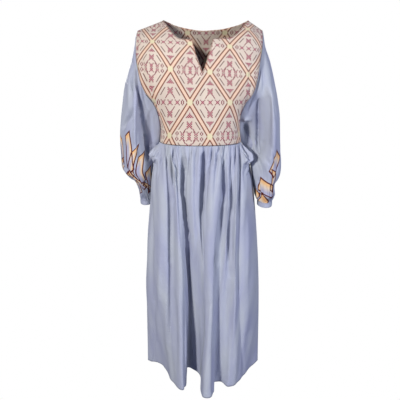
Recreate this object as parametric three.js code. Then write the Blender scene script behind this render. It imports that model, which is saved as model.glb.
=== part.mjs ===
// A boho maxi dress, hollow and open as it is worn, made of the panels that a maker cuts and sews.
//
// Millimetres. +Z is up, the front of the dress faces -Y, and +X is the wearer's left. The
// origin is between the two shoulder seams, at the height of their neck ends, where the wearer's
// shoulders carry it.
//
// The bodice is a front and a back panel, which meet on the shoulders. A wide batwing sleeve is
// sewn to the whole side of the bodice, from shoulder to waist, and its underarm seam runs from
// the waist out to the gathered cuff. The skirt is a front and a back panel, gathered into the
// waist seam, that hang in long uneven folds.
//
// Every panel is a grid of points on the cloth's outer face. Rows run down, and columns run left
// to right as seen from outside. Panels that are sewn together share their seam's points, so
// they also share its normals.
import * as THREE from "three";

// ---- Driving dimensions ----
const CLOTH = 1.5; // thickness of the cloth's wall
const SEAM_GAP = 0.3; // between two panels at a seam
const WAIST_Z = -374;
const HIP_Z = -580;
const KNEE_Z = -900;
const HEM_Z = -1290;
const NECK_Z = -4; // the shoulder seam's neck end
const SHOULDER_Z = -33; // and its outer end
const CAP_Z = -42; // the sleeve's first row runs from here, over the shoulder seam's end, to here again

const COTTON = { color: 0xb0b6d2, roughness: 0.85, metalness: 0 };
const WOVEN = { color: 0xe2cfc6, roughness: 0.9, metalness: 0 };

// ---- The bodice ----
// The armhole seams, from the shoulder down to the waist: how far out the seam is on the
// wearer's right and left side, and where the front and the back panel's edges are.
const ARMHOLE = [
  { z: SHOULDER_Z, right: 194, left: 195, front: 0, back: 0 },
  { z: CAP_Z, right: 195, left: 194.5, front: -14, back: 12 },
  { z: -56, right: 196, left: 193.5, front: -26, back: 23 },
  { z: -80, right: 197, left: 191.5, front: -38, back: 33 },
  { z: -120, right: 195, left: 185, front: -55, back: 48 },
  { z: -155, right: 189, left: 180, front: -66, back: 58 },
  { z: -190, right: 181, left: 174, front: -70, back: 63 },
  { z: -223, right: 167, left: 164, front: -66, back: 60 },
  { z: -250, right: 147, left: 144, front: -56, back: 52 },
  { z: -287, right: 134, left: 131, front: -41, back: 39 },
  { z: -329, right: 130, left: 131, front: -24, back: 23 },
  { z: WAIST_Z, right: 135, left: 137, front: -6, back: 6 },
];

// The panels' top edges, from the wearer's right shoulder to the left one, with the columns up
// to each point.
const FRONT_TOP = [
  { x: -194, z: SHOULDER_Z, columns: 0 },
  { x: -112, z: NECK_Z, columns: 3 }, // neck end of the shoulder seam
  { x: -88, z: -38, columns: 2 },
  { x: -62, z: -63, columns: 2 },
  { x: -22, z: -65, columns: 2 }, // corner of the slit
  { x: -14, z: -100, columns: 1 },
  { x: 8, z: -158, columns: 2 }, // foot of the slit
  { x: 30, z: -94, columns: 2 },
  { x: 38, z: -66, columns: 1 },
  { x: 94, z: -60, columns: 3 },
  { x: 124, z: -32, columns: 2 },
  { x: 148, z: NECK_Z, columns: 2 },
  { x: 195, z: SHOULDER_Z, columns: 2 },
];
const BACK_TOP = [
  { x: -194, z: SHOULDER_Z, columns: 0 },
  { x: -112, z: NECK_Z, columns: 3 },
  { x: -72, z: -17, columns: 3 },
  { x: 16, z: -27, columns: 4 }, // middle of the back neckline
  { x: 108, z: -18, columns: 4 },
  { x: 148, z: NECK_Z, columns: 2 },
  { x: 195, z: SHOULDER_Z, columns: 2 },
];
// How far the middle of the front and of the back reach.
const BODICE_DEPTH = [
  { z: NECK_Z, front: 98, back: 84 },
  { z: -80, front: 104, back: 94 },
  { z: -130, front: 112, back: 99 },
  { z: -180, front: 118, back: 99 },
  { z: -230, front: 119, back: 95 },
  { z: -300, front: 116, back: 90 },
  { z: WAIST_Z, front: 112, back: 90 },
];
const BODY_SQUARENESS = 2.3; // 2 is an ellipse, more is squarer
const SHOULDER_DROP = 120; // height over which a panel turns back over the shoulder
const EDGE_HOLD = 5; // how soon the armhole's curve dies out across the panel

// ---- The sleeves ----
// Level sections of each sleeve. Distances across are from the middle of the dress outwards.
// fold is the crease between the web under the arm and the hanging sleeve, crown the fullest
// point of its front and back, and out the outer edge.
const RIGHT_SLEEVE = [
  { z: -56, fold: 198, foldF: -20, foldB: 17, crown: 200, crownF: -11, crownB: 9, out: 200.5, outY: -1 },
  { z: -80, fold: 200, foldF: -29, foldB: 25, crown: 203, crownF: -17, crownB: 14, out: 205, outY: -2 },
  { z: -120, fold: 203, foldF: -46, foldB: 40, crown: 211, crownF: -29, crownB: 26, out: 217, outY: -4 },
  { z: -155, fold: 201, foldF: -62, foldB: 55, crown: 216, crownF: -46, crownB: 42, out: 229, outY: -6 },
  { z: -190, fold: 194, foldF: -68, foldB: 62, crown: 218, crownF: -61, crownB: 56, out: 240, outY: -8 },
  { z: -223, fold: 182, foldF: -60, foldB: 54, crown: 214, crownF: -74, crownB: 64, out: 248, outY: -9 },
  { z: -250, fold: 174, foldF: -46, foldB: 42, crown: 214, crownF: -79, crownB: 67, out: 253, outY: -9 },
  { z: -287, fold: 170, foldF: -35, foldB: 33, crown: 216, crownF: -80, crownB: 68, out: 260, outY: -8 },
  { z: -329, fold: 168, foldF: -22, foldB: 24, crown: 218, crownF: -78, crownB: 70, out: 266, outY: -6 },
  { z: WAIST_Z, fold: 165, foldF: -9, foldB: 12, crown: 219, crownF: -74, crownB: 72, out: 270, outY: -4 },
  { z: -390, fold: 166, foldF: -10, foldB: 13, crown: 220, crownF: -73, crownB: 73, out: 271, outY: -3 },
  { z: -410, fold: 176, foldF: -18, foldB: 24, crown: 221, crownF: -71, crownB: 75, out: 272, outY: -2 },
  { z: -444, fold: 182, foldF: -34, foldB: 46, crown: 222, crownF: -67, crownB: 78, out: 274, outY: 2 },
  { z: -474, fold: 180, foldF: -26, foldB: 58, crown: 219, crownF: -60, crownB: 84, out: 272, outY: 8 },
  { z: -496, fold: 179, foldF: -16, foldB: 68, crown: 212, crownF: -48, crownB: 90, out: 256, outY: 18 },
  { z: -520, fold: 178, foldF: -4, foldB: 78, crown: 204, crownF: -30, crownB: 97, out: 236, outY: 32 },
  { z: -560, fold: 178, foldF: 18, foldB: 94, crown: 199, crownF: 4, crownB: 106, out: 226, outY: 54 },
];
const LEFT_SLEEVE = [
  { z: -56, fold: 196, foldF: -20, foldB: 17, crown: 199, crownF: -11, crownB: 9, out: 200.5, outY: -1 },
  { z: -80, fold: 197, foldF: -30, foldB: 25, crown: 203, crownF: -17, crownB: 14, out: 206, outY: -2 },
  { z: -120, fold: 198, foldF: -48, foldB: 42, crown: 212, crownF: -30, crownB: 27, out: 222, outY: -4 },
  { z: -155, fold: 196, foldF: -62, foldB: 55, crown: 216, crownF: -47, crownB: 43, out: 232, outY: -6 },
  { z: -190, fold: 192, foldF: -69, foldB: 62, crown: 217, crownF: -62, crownB: 56, out: 240, outY: -8 },
  { z: -223, fold: 184, foldF: -62, foldB: 54, crown: 218, crownF: -76, crownB: 64, out: 247, outY: -9 },
  { z: -250, fold: 180, foldF: -48, foldB: 42, crown: 220, crownF: -80, crownB: 66, out: 252, outY: -9 },
  { z: -287, fold: 182, foldF: -36, foldB: 34, crown: 224, crownF: -81, crownB: 68, out: 259, outY: -8 },
  { z: -329, fold: 187, foldF: -24, foldB: 26, crown: 228, crownF: -79, crownB: 70, out: 264, outY: -6 },
  { z: WAIST_Z, fold: 191, foldF: -12, foldB: 14, crown: 231, crownF: -75, crownB: 71, out: 269, outY: -4 },
  { z: -390, fold: 192, foldF: -12, foldB: 14, crown: 232, crownF: -74, crownB: 71, out: 271, outY: -3 },
  { z: -410, fold: 188, foldF: -18, foldB: 22, crown: 232, crownF: -73, crownB: 71, out: 273, outY: -2 },
  { z: -444, fold: 185, foldF: -34, foldB: 36, crown: 230, crownF: -70, crownB: 70, out: 279, outY: 0 },
  { z: -482, fold: 190, foldF: -36, foldB: 38, crown: 230, crownF: -66, crownB: 66, out: 281, outY: 0 },
  { z: -506, fold: 195, foldF: -35, foldB: 37, crown: 230, crownF: -62, crownB: 62, out: 275, outY: 0 },
  { z: -522, fold: 197, foldF: -34, foldB: 36, crown: 230, crownF: -60, crownB: 60, out: 264, outY: 0 },
  { z: -560, fold: 204, foldF: -32, foldB: 32, crown: 231, crownF: -54, crownB: 54, out: 266, outY: 0 },
];
// The sleeves' underarm seams, which start below the waist.
const RIGHT_UNDERARM = [
  { z: -390, x: 147, y: 0 },
  { z: -410, x: 159, y: 2 },
  { z: -444, x: 168, y: 8 },
  { z: -474, x: 171, y: 16 },
  { z: -496, x: 171, y: 24 },
  { z: -520, x: 172, y: 34 },
  { z: -560, x: 174, y: 52 },
];
const LEFT_UNDERARM = [
  { z: -390, x: 150, y: 0 },
  { z: -410, x: 163, y: 1 },
  { z: -444, x: 175, y: 2 },
  { z: -482, x: 182, y: 2 },
  { z: -506, x: 187, y: 2 },
  { z: -522, x: 190, y: 2 },
  { z: -560, x: 197, y: 1 },
];
const SECTION_COLUMNS = 4; // columns between two neighbouring points of a section

// The cuffs: level oval bands, with the sleeve's gathers just above.
const RIGHT_CUFF = { x: -200, y: 68, z: -598, wide: 24, deep: 42 };
const LEFT_CUFF = { x: 231, y: 0, z: -586, wide: 26, deep: 40 };
const CUFF_HEIGHT = 16;
const CUFF_CLOTH = 2.5;
const CUFF_GATHER = 3; // depth of the sleeve's gathers at the cuff
const COLUMNS_A_GATHER = 4;
const LEVEL_SEAMS = [WAIST_Z, RIGHT_CUFF.z, LEFT_CUFF.z]; // the walls on both sides of these stand level

// ---- The skirt ----
// The front's folds from the wearer's right side seam to the left one: each row is a point that
// a ridge or a valley follows down the cloth, at the hip, the knee and the hem.
const FRONT_FOLDS = [
  { hipX: -178, hipY: 0, kneeX: -205, kneeY: 0, hemX: -218, hemY: 0 }, // side seam
  { hipX: -171, hipY: -38, kneeX: -197, kneeY: -38, hemX: -198, hemY: -9 },
  { hipX: -152, hipY: -72, kneeX: -174, kneeY: -70, hemX: -166, hemY: -17 },
  { hipX: -130, hipY: -96, kneeX: -143, kneeY: -98, hemX: -142, hemY: -44 },
  { hipX: -110, hipY: -107, kneeX: -115, kneeY: -112, hemX: -119, hemY: -96 },
  { hipX: -94, hipY: -105, kneeX: -96, kneeY: -110, hemX: -98, hemY: -126 }, // crease
  { hipX: -80, hipY: -126, kneeX: -72, kneeY: -138, hemX: -74, hemY: -154 },
  { hipX: -68, hipY: -124, kneeX: -52, kneeY: -136, hemX: -57, hemY: -150 },
  { hipX: -60, hipY: -111, kneeX: -44, kneeY: -112, hemX: -51, hemY: -98 },
  { hipX: -53, hipY: -107, kneeX: -40, kneeY: -80, hemX: -46, hemY: -45 }, // deepest valley
  { hipX: -41, hipY: -122, kneeX: -22, kneeY: -88, hemX: -26, hemY: -51 },
  { hipX: -24, hipY: -134, kneeX: 0, kneeY: -104, hemX: -4, hemY: -74 },
  { hipX: -7, hipY: -129, kneeX: 14, kneeY: -122, hemX: 2, hemY: -104 },
  { hipX: 6, hipY: -113, kneeX: 22, kneeY: -142, hemX: 3, hemY: -160 },
  { hipX: 20, hipY: -131, kneeX: 34, kneeY: -154, hemX: 12, hemY: -188 }, // the narrow front ridge
  { hipX: 42, hipY: -141, kneeX: 48, kneeY: -152, hemX: 38, hemY: -190 },
  { hipX: 62, hipY: -135, kneeX: 57, kneeY: -136, hemX: 51, hemY: -168 },
  { hipX: 77, hipY: -117, kneeX: 68, kneeY: -117, hemX: 55, hemY: -118 }, // valley
  { hipX: 89, hipY: -129, kneeX: 86, kneeY: -120, hemX: 78, hemY: -116 },
  { hipX: 101, hipY: -115, kneeX: 104, kneeY: -126, hemX: 106, hemY: -139 },
  { hipX: 114, hipY: -124, kneeX: 122, kneeY: -134, hemX: 132, hemY: -130 },
  { hipX: 127, hipY: -106, kneeX: 137, kneeY: -114, hemX: 154, hemY: -106 }, // crease
  { hipX: 150, hipY: -92, kneeX: 162, kneeY: -106, hemX: 176, hemY: -80 },
  { hipX: 174, hipY: -54, kneeX: 196, kneeY: -70, hemX: 208, hemY: -36 },
  { hipX: 195, hipY: 0, kneeX: 226, kneeY: 0, hemX: 242, hemY: 0 }, // side seam
];
// The back's folds from the wearer's left side seam to the right one: how far each ridge or
// valley stands out from the smooth back, and where it is across the back, from 0 to 1.
const BACK_FOLDS = [
  { at: 0, hip: 0, knee: 0, hem: 0 }, // side seam
  { at: 0.08, hip: -3, knee: -12, hem: -16 },
  { at: 0.17, hip: 3, knee: 10, hem: 16 },
  { at: 0.25, hip: -5, knee: -15, hem: -26 },
  { at: 0.34, hip: 4, knee: 12, hem: 22 },
  { at: 0.41, hip: -6, knee: -12, hem: -20 },
  { at: 0.49, hip: 5, knee: 14, hem: 26 },
  { at: 0.56, hip: -6, knee: -20, hem: -34 },
  { at: 0.65, hip: 4, knee: 10, hem: 18 },
  { at: 0.72, hip: -5, knee: -12, hem: -22 },
  { at: 0.82, hip: 3, knee: 12, hem: 18 },
  { at: 0.91, hip: -2, knee: -10, hem: -14 },
  { at: 1, hip: 0, knee: 0, hem: 0 }, // side seam
];
const BACK_DEPTH = { hip: 128, knee: 138, hem: 148 }; // how far the smooth back reaches
const HIGH_HIP_Z = -458;
const HIGH_HIP_SHARE = 0.64; // of the way that the cloth spreads from the waist to the hip
const FRONT_FOLD_COLUMNS = 3; // columns between two neighbouring points
const BACK_FOLD_COLUMNS = 4;
const WAIST_TUCK = 2.5; // the skirt's top edge lies this far inside the bodice's
const GATHERS = [
  // depth of the small gathers below the waist seam
  { z: WAIST_Z, depth: 2.2 },
  { z: -398, depth: 5 },
  { z: -440, depth: 5 },
  { z: -540, depth: 2 },
  { z: -700, depth: 0 },
  { z: HEM_Z, depth: 0 },
];
const GATHER_FADE = 0.06; // share of the width, at each side seam, over which they fade
// The puffs of gathered cloth that stand out in front of each side seam, just below the waist:
// where each is across the front, from 0 to 1, and its tip.
const PUFFS = [
  { at: 0.072, z: -412, out: 27 },
  { at: 0.928, z: -420, out: 32 },
];
const PUFF_RISE = 24; // height over which a puff grows above its tip
const PUFF_FALL = 24; // and dies out below it
const PUFF_WIDTH = 0.045;
const SKIRT_LEVELS = [
  WAIST_Z, -384, -396, -411, -428, -448, -480, -535, -610, -710, -820, -935, -1055, -1175, HEM_Z,
];

// ---- Curves ----
const point = (x, y, z) => new THREE.Vector3(x, y, z);

/** Points along a smooth curve through the given ones, with the same number of steps between each two. */
function curveThrough(points, steps, closed = false) {
  const spans = closed ? points.length : points.length - 1;
  return new THREE.CatmullRomCurve3(points, closed, "centripetal").getPoints(spans * steps);
}

/** The value at z of a smooth curve through table rows that run downwards. */
function valueAt(rows, column, z) {
  const last = rows.length - 1;
  let i = 0;
  while (i < last - 1 && z < rows[i + 1].z) i++;
  const slope = (k) => {
    const a = Math.max(k - 1, 0);
    const b = Math.min(k + 1, last);
    return (rows[b][column] - rows[a][column]) / (rows[b].z - rows[a].z);
  };
  const span = rows[i + 1].z - rows[i].z;
  const t = THREE.MathUtils.clamp((z - rows[i].z) / span, 0, 1);
  const rise = (1 - t) * (1 - t) * (1 + 2 * t);
  return (
    rise * rows[i][column] +
    (1 - rise) * rows[i + 1][column] +
    span * t * (1 - t) * ((1 - t) * slope(i) - t * slope(i + 1))
  );
}

/** A point of a half oval at share u of its way from x = from to x = to, reaching deep at its middle. */
function ovalPoint(u, from, to, deep, z) {
  const angle = Math.PI * u;
  const round = (v) => Math.sign(v) * Math.abs(v) ** (2 / BODY_SQUARENESS);
  const middle = (from + to) / 2;
  const half = (to - from) / 2;
  return point(middle - half * round(Math.cos(angle)), deep * round(Math.sin(angle)), z);
}

// ---- The bodice's panels ----
/** The armhole seam at height z: how far out it is, and its front and back edges. */
function armholeAt(side, z) {
  const below = Math.max(1, ARMHOLE.findIndex((row) => row.z <= z));
  const [a, b] = [ARMHOLE[below - 1], ARMHOLE[below]];
  const t = THREE.MathUtils.clamp((z - a.z) / (b.z - a.z), 0, 1);
  const between = (name) => THREE.MathUtils.lerp(a[name], b[name], t);
  return { x: between(side < 0 ? "right" : "left"), front: between("front"), back: between("back") };
}

/** The height of the shoulder seam, or of the neck, at x. */
function shoulderZ(top, x) {
  const [tip, neck] = x < 0 ? [top[0], top[1]] : [top.at(-1), top.at(-2)];
  const t = THREE.MathUtils.clamp((x - neck.x) / (tip.x - neck.x), 0, 1);
  return THREE.MathUtils.lerp(neck.z, tip.z, t);
}

/** The depth of a bodice panel at (x, z). near is 1 on the armhole seam and dies out away from it. */
function bodiceY(top, edge, x, z, near) {
  const armhole = armholeAt(Math.sign(x), z);
  const middle = valueAt(BODICE_DEPTH, edge, z);
  const share = Math.min(1, Math.abs(x) / armhole.x);
  const oval = (1 - share ** BODY_SQUARENESS) ** (1 / BODY_SQUARENESS);
  const below = THREE.MathUtils.clamp((shoulderZ(top, x) - z) / SHOULDER_DROP, 0, 1);
  const turned = Math.sin((Math.PI / 2) * below) ** 0.6;
  const side = Math.abs(armhole[edge]);
  return side * THREE.MathUtils.lerp(turned, 1, near) + (middle - side) * oval * turned;
}

/** One panel between the waist and its top edge, from the wearer's right side to the left. */
function bodicePanel(top, edge, facing) {
  const corners = top.flatMap((p, i) =>
    Array.from({ length: i === 0 ? 1 : p.columns }, (_, k) => {
      if (i === 0) return point(p.x, 0, p.z);
      const a = top[i - 1];
      return point(a.x, 0, a.z).lerp(point(p.x, 0, p.z), (k + 1) / p.columns);
    }),
  );
  const columns = corners.length - 1;
  const waist = ARMHOLE.at(-1);
  const grid = ARMHOLE.map((row) => {
    const v = (row.z - WAIST_Z) / (SHOULDER_Z - WAIST_Z); // 0 at the waist, 1 at the top edge
    return corners.map((upper, c) => {
      const u = c / columns;
      const nearRight = (1 - u) ** EDGE_HOLD;
      const nearLeft = u ** EDGE_HOLD;
      const straight = (name) => THREE.MathUtils.lerp(waist[name], ARMHOLE[0][name], v);
      const p = waistPoint(u, facing, 0).lerp(upper, v);
      p.x += nearLeft * (row.left - straight("left")) - nearRight * (row.right - straight("right"));
      p.y = facing * bodiceY(top, edge, p.x, p.z, nearRight + nearLeft);
      return p;
    });
  });
  return facing < 0 ? grid : grid.map((row) => row.reverse());
}

/** A point of the waist at share u of its way from the wearer's right side to the left, inside it by tuck. */
function waistPoint(u, facing, tuck) {
  const { right, left } = ARMHOLE.at(-1);
  const { front, back } = BODICE_DEPTH.at(-1);
  const deep = (facing < 0 ? front : back) - tuck;
  return ovalPoint(u, tuck - right, left - tuck, facing * deep, WAIST_Z);
}

// ---- The sleeves' panels ----
/** One sleeve, from the shoulder down to its cuff. side is -1 for the wearer's right. */
function sleevePanel(sections, underarm, side, cuff) {
  const grid = sections.map((s) => {
    const at = (x, y) => point(side * x, y, s.z);
    const outline = [
      at(s.fold, s.foldF),
      at(s.crown, s.crownF),
      at(s.out, s.outY),
      at(s.crown, s.crownB),
      at(s.fold, s.foldB),
    ];
    const inner = underarm.find((p) => p.z === s.z);
    if (inner) return curveThrough([at(inner.x, inner.y), ...outline], SECTION_COLUMNS, true);
    const seam = armholeAt(side, s.z);
    return curveThrough([at(seam.x, seam.front), ...outline, at(seam.x, seam.back)], SECTION_COLUMNS);
  });
  const columns = grid[0].length - 1;
  grid.unshift(capRow(side, columns));
  grid.push(cuffRow(cuff, side, columns));
  return side > 0 ? grid : grid.map((row) => row.reverse());
}

/** The sleeve's first row, which follows the armhole seam over the end of the shoulder seam. */
function capRow(side, columns) {
  const { x, front, back } = armholeAt(side, CAP_Z);
  const ends = [point(side * x, front, CAP_Z), point(side * x, back, CAP_Z)];
  const tip = point(side * armholeAt(side, SHOULDER_Z).x, 0, SHOULDER_Z);
  return Array.from({ length: columns + 1 }, (_, c) => {
    const u = (2 * c) / columns;
    return u < 1 ? ends[0].clone().lerp(tip, u) : tip.clone().lerp(ends[1], u - 1);
  });
}

/** The sleeve's last row, gathered onto the cuff's oval, from its inner side by the front. */
function cuffRow(cuff, side, columns) {
  return Array.from({ length: columns + 1 }, (_, c) => {
    const angle = (2 * Math.PI * c) / columns;
    const wave = Math.cos((2 * Math.PI * c) / COLUMNS_A_GATHER);
    const out = 1 + (CUFF_GATHER * wave) / cuff.deep;
    return point(
      cuff.x - side * cuff.wide * out * Math.cos(angle),
      cuff.y - cuff.deep * out * Math.sin(angle),
      cuff.z,
    );
  });
}

// ---- The skirt's panels ----
/** A panel whose points follow the table's ridges and valleys, with the small gathers and puffs on them. */
function skirtPanel(tracks, steps, puffs) {
  return SKIRT_LEVELS.map((z) => {
    const row = curveThrough(
      tracks.map((track) => point(valueAt(track, "x", z), valueAt(track, "y", z), z)),
      steps,
    );
    const last = row.length - 1;
    const depth = valueAt(GATHERS, "depth", z);
    return row.map((p, c) => {
      const u = c / last;
      const along = row[Math.min(c + 1, last)].clone().sub(row[Math.max(c - 1, 0)]).normalize();
      const outwards = point(along.y, -along.x, 0);
      const inside = THREE.MathUtils.smoothstep(Math.min(u, 1 - u), 0, GATHER_FADE);
      let out = depth * Math.cos((2 * Math.PI * c) / COLUMNS_A_GATHER);
      for (const puff of puffs) {
        const down = (z - puff.z) / (z > puff.z ? PUFF_RISE : PUFF_FALL);
        const across = (u - puff.at) / PUFF_WIDTH;
        out += puff.out * Math.exp(-(down ** 2) - across ** 2);
      }
      return p.clone().addScaledVector(outwards, out * inside);
    });
  });
}

/** The points that a ridge or a valley of the skirt passes, from the waist to the hem. */
function trackOf(top, [hip, knee, hem]) {
  const high = top.clone().lerp(hip, HIGH_HIP_SHARE);
  high.z = HIGH_HIP_Z;
  return [top, high, hip, knee, hem];
}

function frontTracks() {
  return FRONT_FOLDS.map((fold, i) => {
    const top = waistPoint(i / (FRONT_FOLDS.length - 1), -1, WAIST_TUCK);
    const hip = point(fold.hipX, fold.hipY, HIP_Z);
    const knee = point(fold.kneeX, fold.kneeY, KNEE_Z);
    const hem = point(fold.hemX, fold.hemY, HEM_Z);
    return trackOf(top, [hip, knee, hem]);
  });
}

function backTracks() {
  const [right, left] = [FRONT_FOLDS[0], FRONT_FOLDS.at(-1)];
  return BACK_FOLDS.map((fold) => {
    const across = 1 - fold.at;
    const top = waistPoint(across, 1, WAIST_TUCK);
    const smooth = (from, to, deep, z) => ovalPoint(across, from, to, deep, z);
    const hip = smooth(right.hipX, left.hipX, BACK_DEPTH.hip + fold.hip, HIP_Z);
    const knee = smooth(right.kneeX, left.kneeX, BACK_DEPTH.knee + fold.knee, KNEE_Z);
    const hem = smooth(right.hemX, left.hemX, BACK_DEPTH.hem + fold.hem, HEM_Z);
    return trackOf(top, [hip, knee, hem]);
  });
}

// ---- From panels to solids ----
const keyOf = (p) => [p.x, p.y, p.z].map((v) => Math.round(v * 100)).join();

/** The triangles of a grid's outer face, as pairs of row and column. */
function trianglesOf(grid) {
  const triangles = [];
  for (let r = 0; r < grid.length - 1; r++)
    for (let c = 0; c < grid[r].length - 1; c++) {
      const [a, b] = [[r, c], [r + 1, c]];
      const [d, e] = [[r + 1, c + 1], [r, c + 1]];
      triangles.push([a, b, d], [a, d, e]);
    }
  return triangles;
}

/** The cloth's normal at every point, the same on both sides of a seam. */
function sewnNormals(grids) {
  const sums = new Map();
  for (const grid of grids)
    for (const corners of trianglesOf(grid)) {
      const [a, b, c] = corners.map(([r, k]) => grid[r][k]);
      const normal = b.clone().sub(a).cross(c.clone().sub(a));
      for (const p of [a, b, c]) {
        const key = keyOf(p);
        sums.set(key, (sums.get(key) ?? point(0, 0, 0)).add(normal));
      }
    }
  return (p) => {
    const normal = sums.get(keyOf(p)).clone();
    if (LEVEL_SEAMS.some((z) => Math.abs(p.z - z) < SEAM_GAP)) normal.z = 0;
    return normal.normalize();
  };
}

/** The normals of a sleeve's first row, which turn evenly between the points that it shares with the bodice. */
function capNormals(row, normalAt) {
  const last = row.length - 1;
  const [front, tip, back] = [row[0], row[last / 2], row[last]].map(normalAt);
  return row.map((_, c) => {
    const u = (2 * c) / last;
    const normal = u < 1 ? front.clone().lerp(tip, u) : tip.clone().lerp(back, u - 1);
    return normal.normalize();
  });
}

/** The grid with its edges drawn back from the seams by half the gap. */
function drawnBack(grid) {
  const towards = (p, q) => q.clone().sub(p).setLength(SEAM_GAP / 2);
  const lastRow = grid.length - 1;
  return grid.map((row, r) => {
    const lastColumn = row.length - 1;
    return row.map((p, c) => {
      const moved = p.clone();
      if (c === 0) moved.add(towards(p, row[1]));
      if (c === lastColumn) moved.add(towards(p, row[lastColumn - 1]));
      if (r === 0) moved.add(towards(p, grid[1][c]));
      if (r === lastRow) moved.add(towards(p, grid[lastRow - 1][c]));
      if (Math.abs(p.z - WAIST_Z) < SEAM_GAP) {
        const up = r === lastRow ? 1 : r === 0 ? -1 : 0;
        moved.z = p.z + (up * SEAM_GAP) / 2;
      }
      return moved;
    });
  });
}

/** A closed wall of the cloth's thickness behind a grid's outer face. */
function wallGeometry(grid, normalRows, thickness) {
  const outer = drawnBack(grid).flat();
  const normals = normalRows.flat();
  const inner = outer.map((p, i) => p.clone().addScaledVector(normals[i], -thickness));
  const columns = grid[0].length;
  const indexOf = ([r, c]) => r * columns + c;
  const under = (i) => i + outer.length;
  const faces = [];
  const edges = new Map();
  for (const corners of trianglesOf(grid)) {
    const [a, b, c] = corners.map(indexOf);
    faces.push([a, b, c], [under(a), under(c), under(b)]);
    for (const [from, to] of [[a, b], [b, c], [c, a]]) {
      const back = `${to},${from}`;
      if (edges.has(back)) edges.delete(back);
      else edges.set(`${from},${to}`, [from, to]);
    }
  }
  for (const [from, to] of edges.values())
    faces.push([to, from, under(from)], [to, under(from), under(to)]);
  const positions = [...outer, ...inner].flatMap((p) => [p.x, p.y, p.z]);
  const geometry = new THREE.BufferGeometry();
  geometry.setAttribute("position", new THREE.Float32BufferAttribute(positions, 3));
  geometry.setIndex(faces.flat());
  return geometry;
}

/** A cuff's band, an oval ring whose section goes once round the oval. */
function cuffGeometry(cuff) {
  const outline = new THREE.Shape().absellipse(0, 0, cuff.wide, cuff.deep, 0, 2 * Math.PI);
  const [wide, deep] = [cuff.wide - CUFF_CLOTH, cuff.deep - CUFF_CLOTH];
  outline.holes.push(new THREE.Path().absellipse(0, 0, wide, deep, 0, 2 * Math.PI));
  const settings = { depth: CUFF_HEIGHT, bevelEnabled: false, curveSegments: 24 };
  const geometry = new THREE.ExtrudeGeometry(outline, settings);
  return geometry.translate(cuff.x, cuff.y, cuff.z - CUFF_HEIGHT - SEAM_GAP);
}

// ---- The dress ----
const panels = {
  bodice_front: bodicePanel(FRONT_TOP, "front", -1),
  bodice_back: bodicePanel(BACK_TOP, "back", 1),
  sleeve_right: sleevePanel(RIGHT_SLEEVE, RIGHT_UNDERARM, -1, RIGHT_CUFF),
  sleeve_left: sleevePanel(LEFT_SLEEVE, LEFT_UNDERARM, 1, LEFT_CUFF),
  skirt_front: skirtPanel(frontTracks(), FRONT_FOLD_COLUMNS, PUFFS),
  skirt_back: skirtPanel(backTracks(), BACK_FOLD_COLUMNS, []),
};
const normalAt = sewnNormals(Object.values(panels));

const dress = new THREE.Group();
function addPiece(name, geometry, finish) {
  const mesh = new THREE.Mesh(geometry, new THREE.MeshStandardMaterial(finish));
  mesh.name = name;
  dress.add(mesh);
}
for (const [name, grid] of Object.entries(panels)) {
  const normalRows = grid.map((row) => row.map(normalAt));
  if (name.startsWith("sleeve")) normalRows[0] = capNormals(grid[0], normalAt);
  const finish = name.startsWith("bodice") ? WOVEN : COTTON;
  addPiece(name, wallGeometry(grid, normalRows, CLOTH), finish);
}
addPiece("cuff_right", cuffGeometry(RIGHT_CUFF), COTTON);
addPiece("cuff_left", cuffGeometry(LEFT_CUFF), COTTON);

export default dress;
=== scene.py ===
"""The looks of a boho maxi dress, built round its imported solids.

Blender works in metres. The tables and the panels' points are in millimetres, in the solids' frame: +Z up,
the front of the dress faces -Y, and the origin is between the shoulder seams.
"""

import math

import bpy
import numpy as np
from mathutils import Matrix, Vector


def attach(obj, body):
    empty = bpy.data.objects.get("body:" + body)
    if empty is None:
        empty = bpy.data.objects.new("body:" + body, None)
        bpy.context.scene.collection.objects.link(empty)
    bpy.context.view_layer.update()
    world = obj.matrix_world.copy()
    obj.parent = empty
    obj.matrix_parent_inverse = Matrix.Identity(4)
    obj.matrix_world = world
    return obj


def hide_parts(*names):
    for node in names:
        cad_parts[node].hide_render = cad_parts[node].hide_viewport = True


MM = 0.001
WAIST_Z, HIP_Z, KNEE_Z, HEM_Z = -374, -580, -900, -1290
NECK_Z, SHOULDER_Z, CAP_Z = -4, -33, -42
CLOTH = 0.4  # thickness of the shell that shows


def table(names, *rows):
    """Named columns, as arrays."""
    return {name: np.array(column, float) for name, column in zip(names.split(), zip(*rows))}


# ---- The shapes that the solids have ----
ARMHOLE = table(
    "z right left front back",
    (SHOULDER_Z, 194, 195, 0, 0),
    (CAP_Z, 195, 194.5, -14, 12),
    (-56, 196, 193.5, -26, 23),
    (-80, 197, 191.5, -38, 33),
    (-120, 195, 185, -55, 48),
    (-155, 189, 180, -66, 58),
    (-190, 181, 174, -70, 63),
    (-223, 167, 164, -66, 60),
    (-250, 147, 144, -56, 52),
    (-287, 134, 131, -41, 39),
    (-329, 130, 131, -24, 23),
    (WAIST_Z, 135, 137, -6, 6),
)
FRONT_TOP = table(
    "x z columns corner",
    (-194, SHOULDER_Z, 0, 1),
    (-112, NECK_Z, 3, 1),
    (-88, -38, 2, 0),
    (-62, -63, 2, 0),
    (-22, -65, 2, 1),
    (-14, -100, 1, 0),
    (8, -158, 2, 1),
    (30, -94, 2, 0),
    (38, -66, 1, 1),
    (94, -60, 3, 0),
    (124, -32, 2, 0),
    (148, NECK_Z, 2, 1),
    (195, SHOULDER_Z, 2, 1),
)
BACK_TOP = table(
    "x z columns corner",
    (-194, SHOULDER_Z, 0, 1),
    (-112, NECK_Z, 3, 1),
    (-72, -17, 3, 0),
    (16, -27, 4, 0),
    (108, -18, 4, 0),
    (148, NECK_Z, 2, 1),
    (195, SHOULDER_Z, 2, 1),
)
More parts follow.
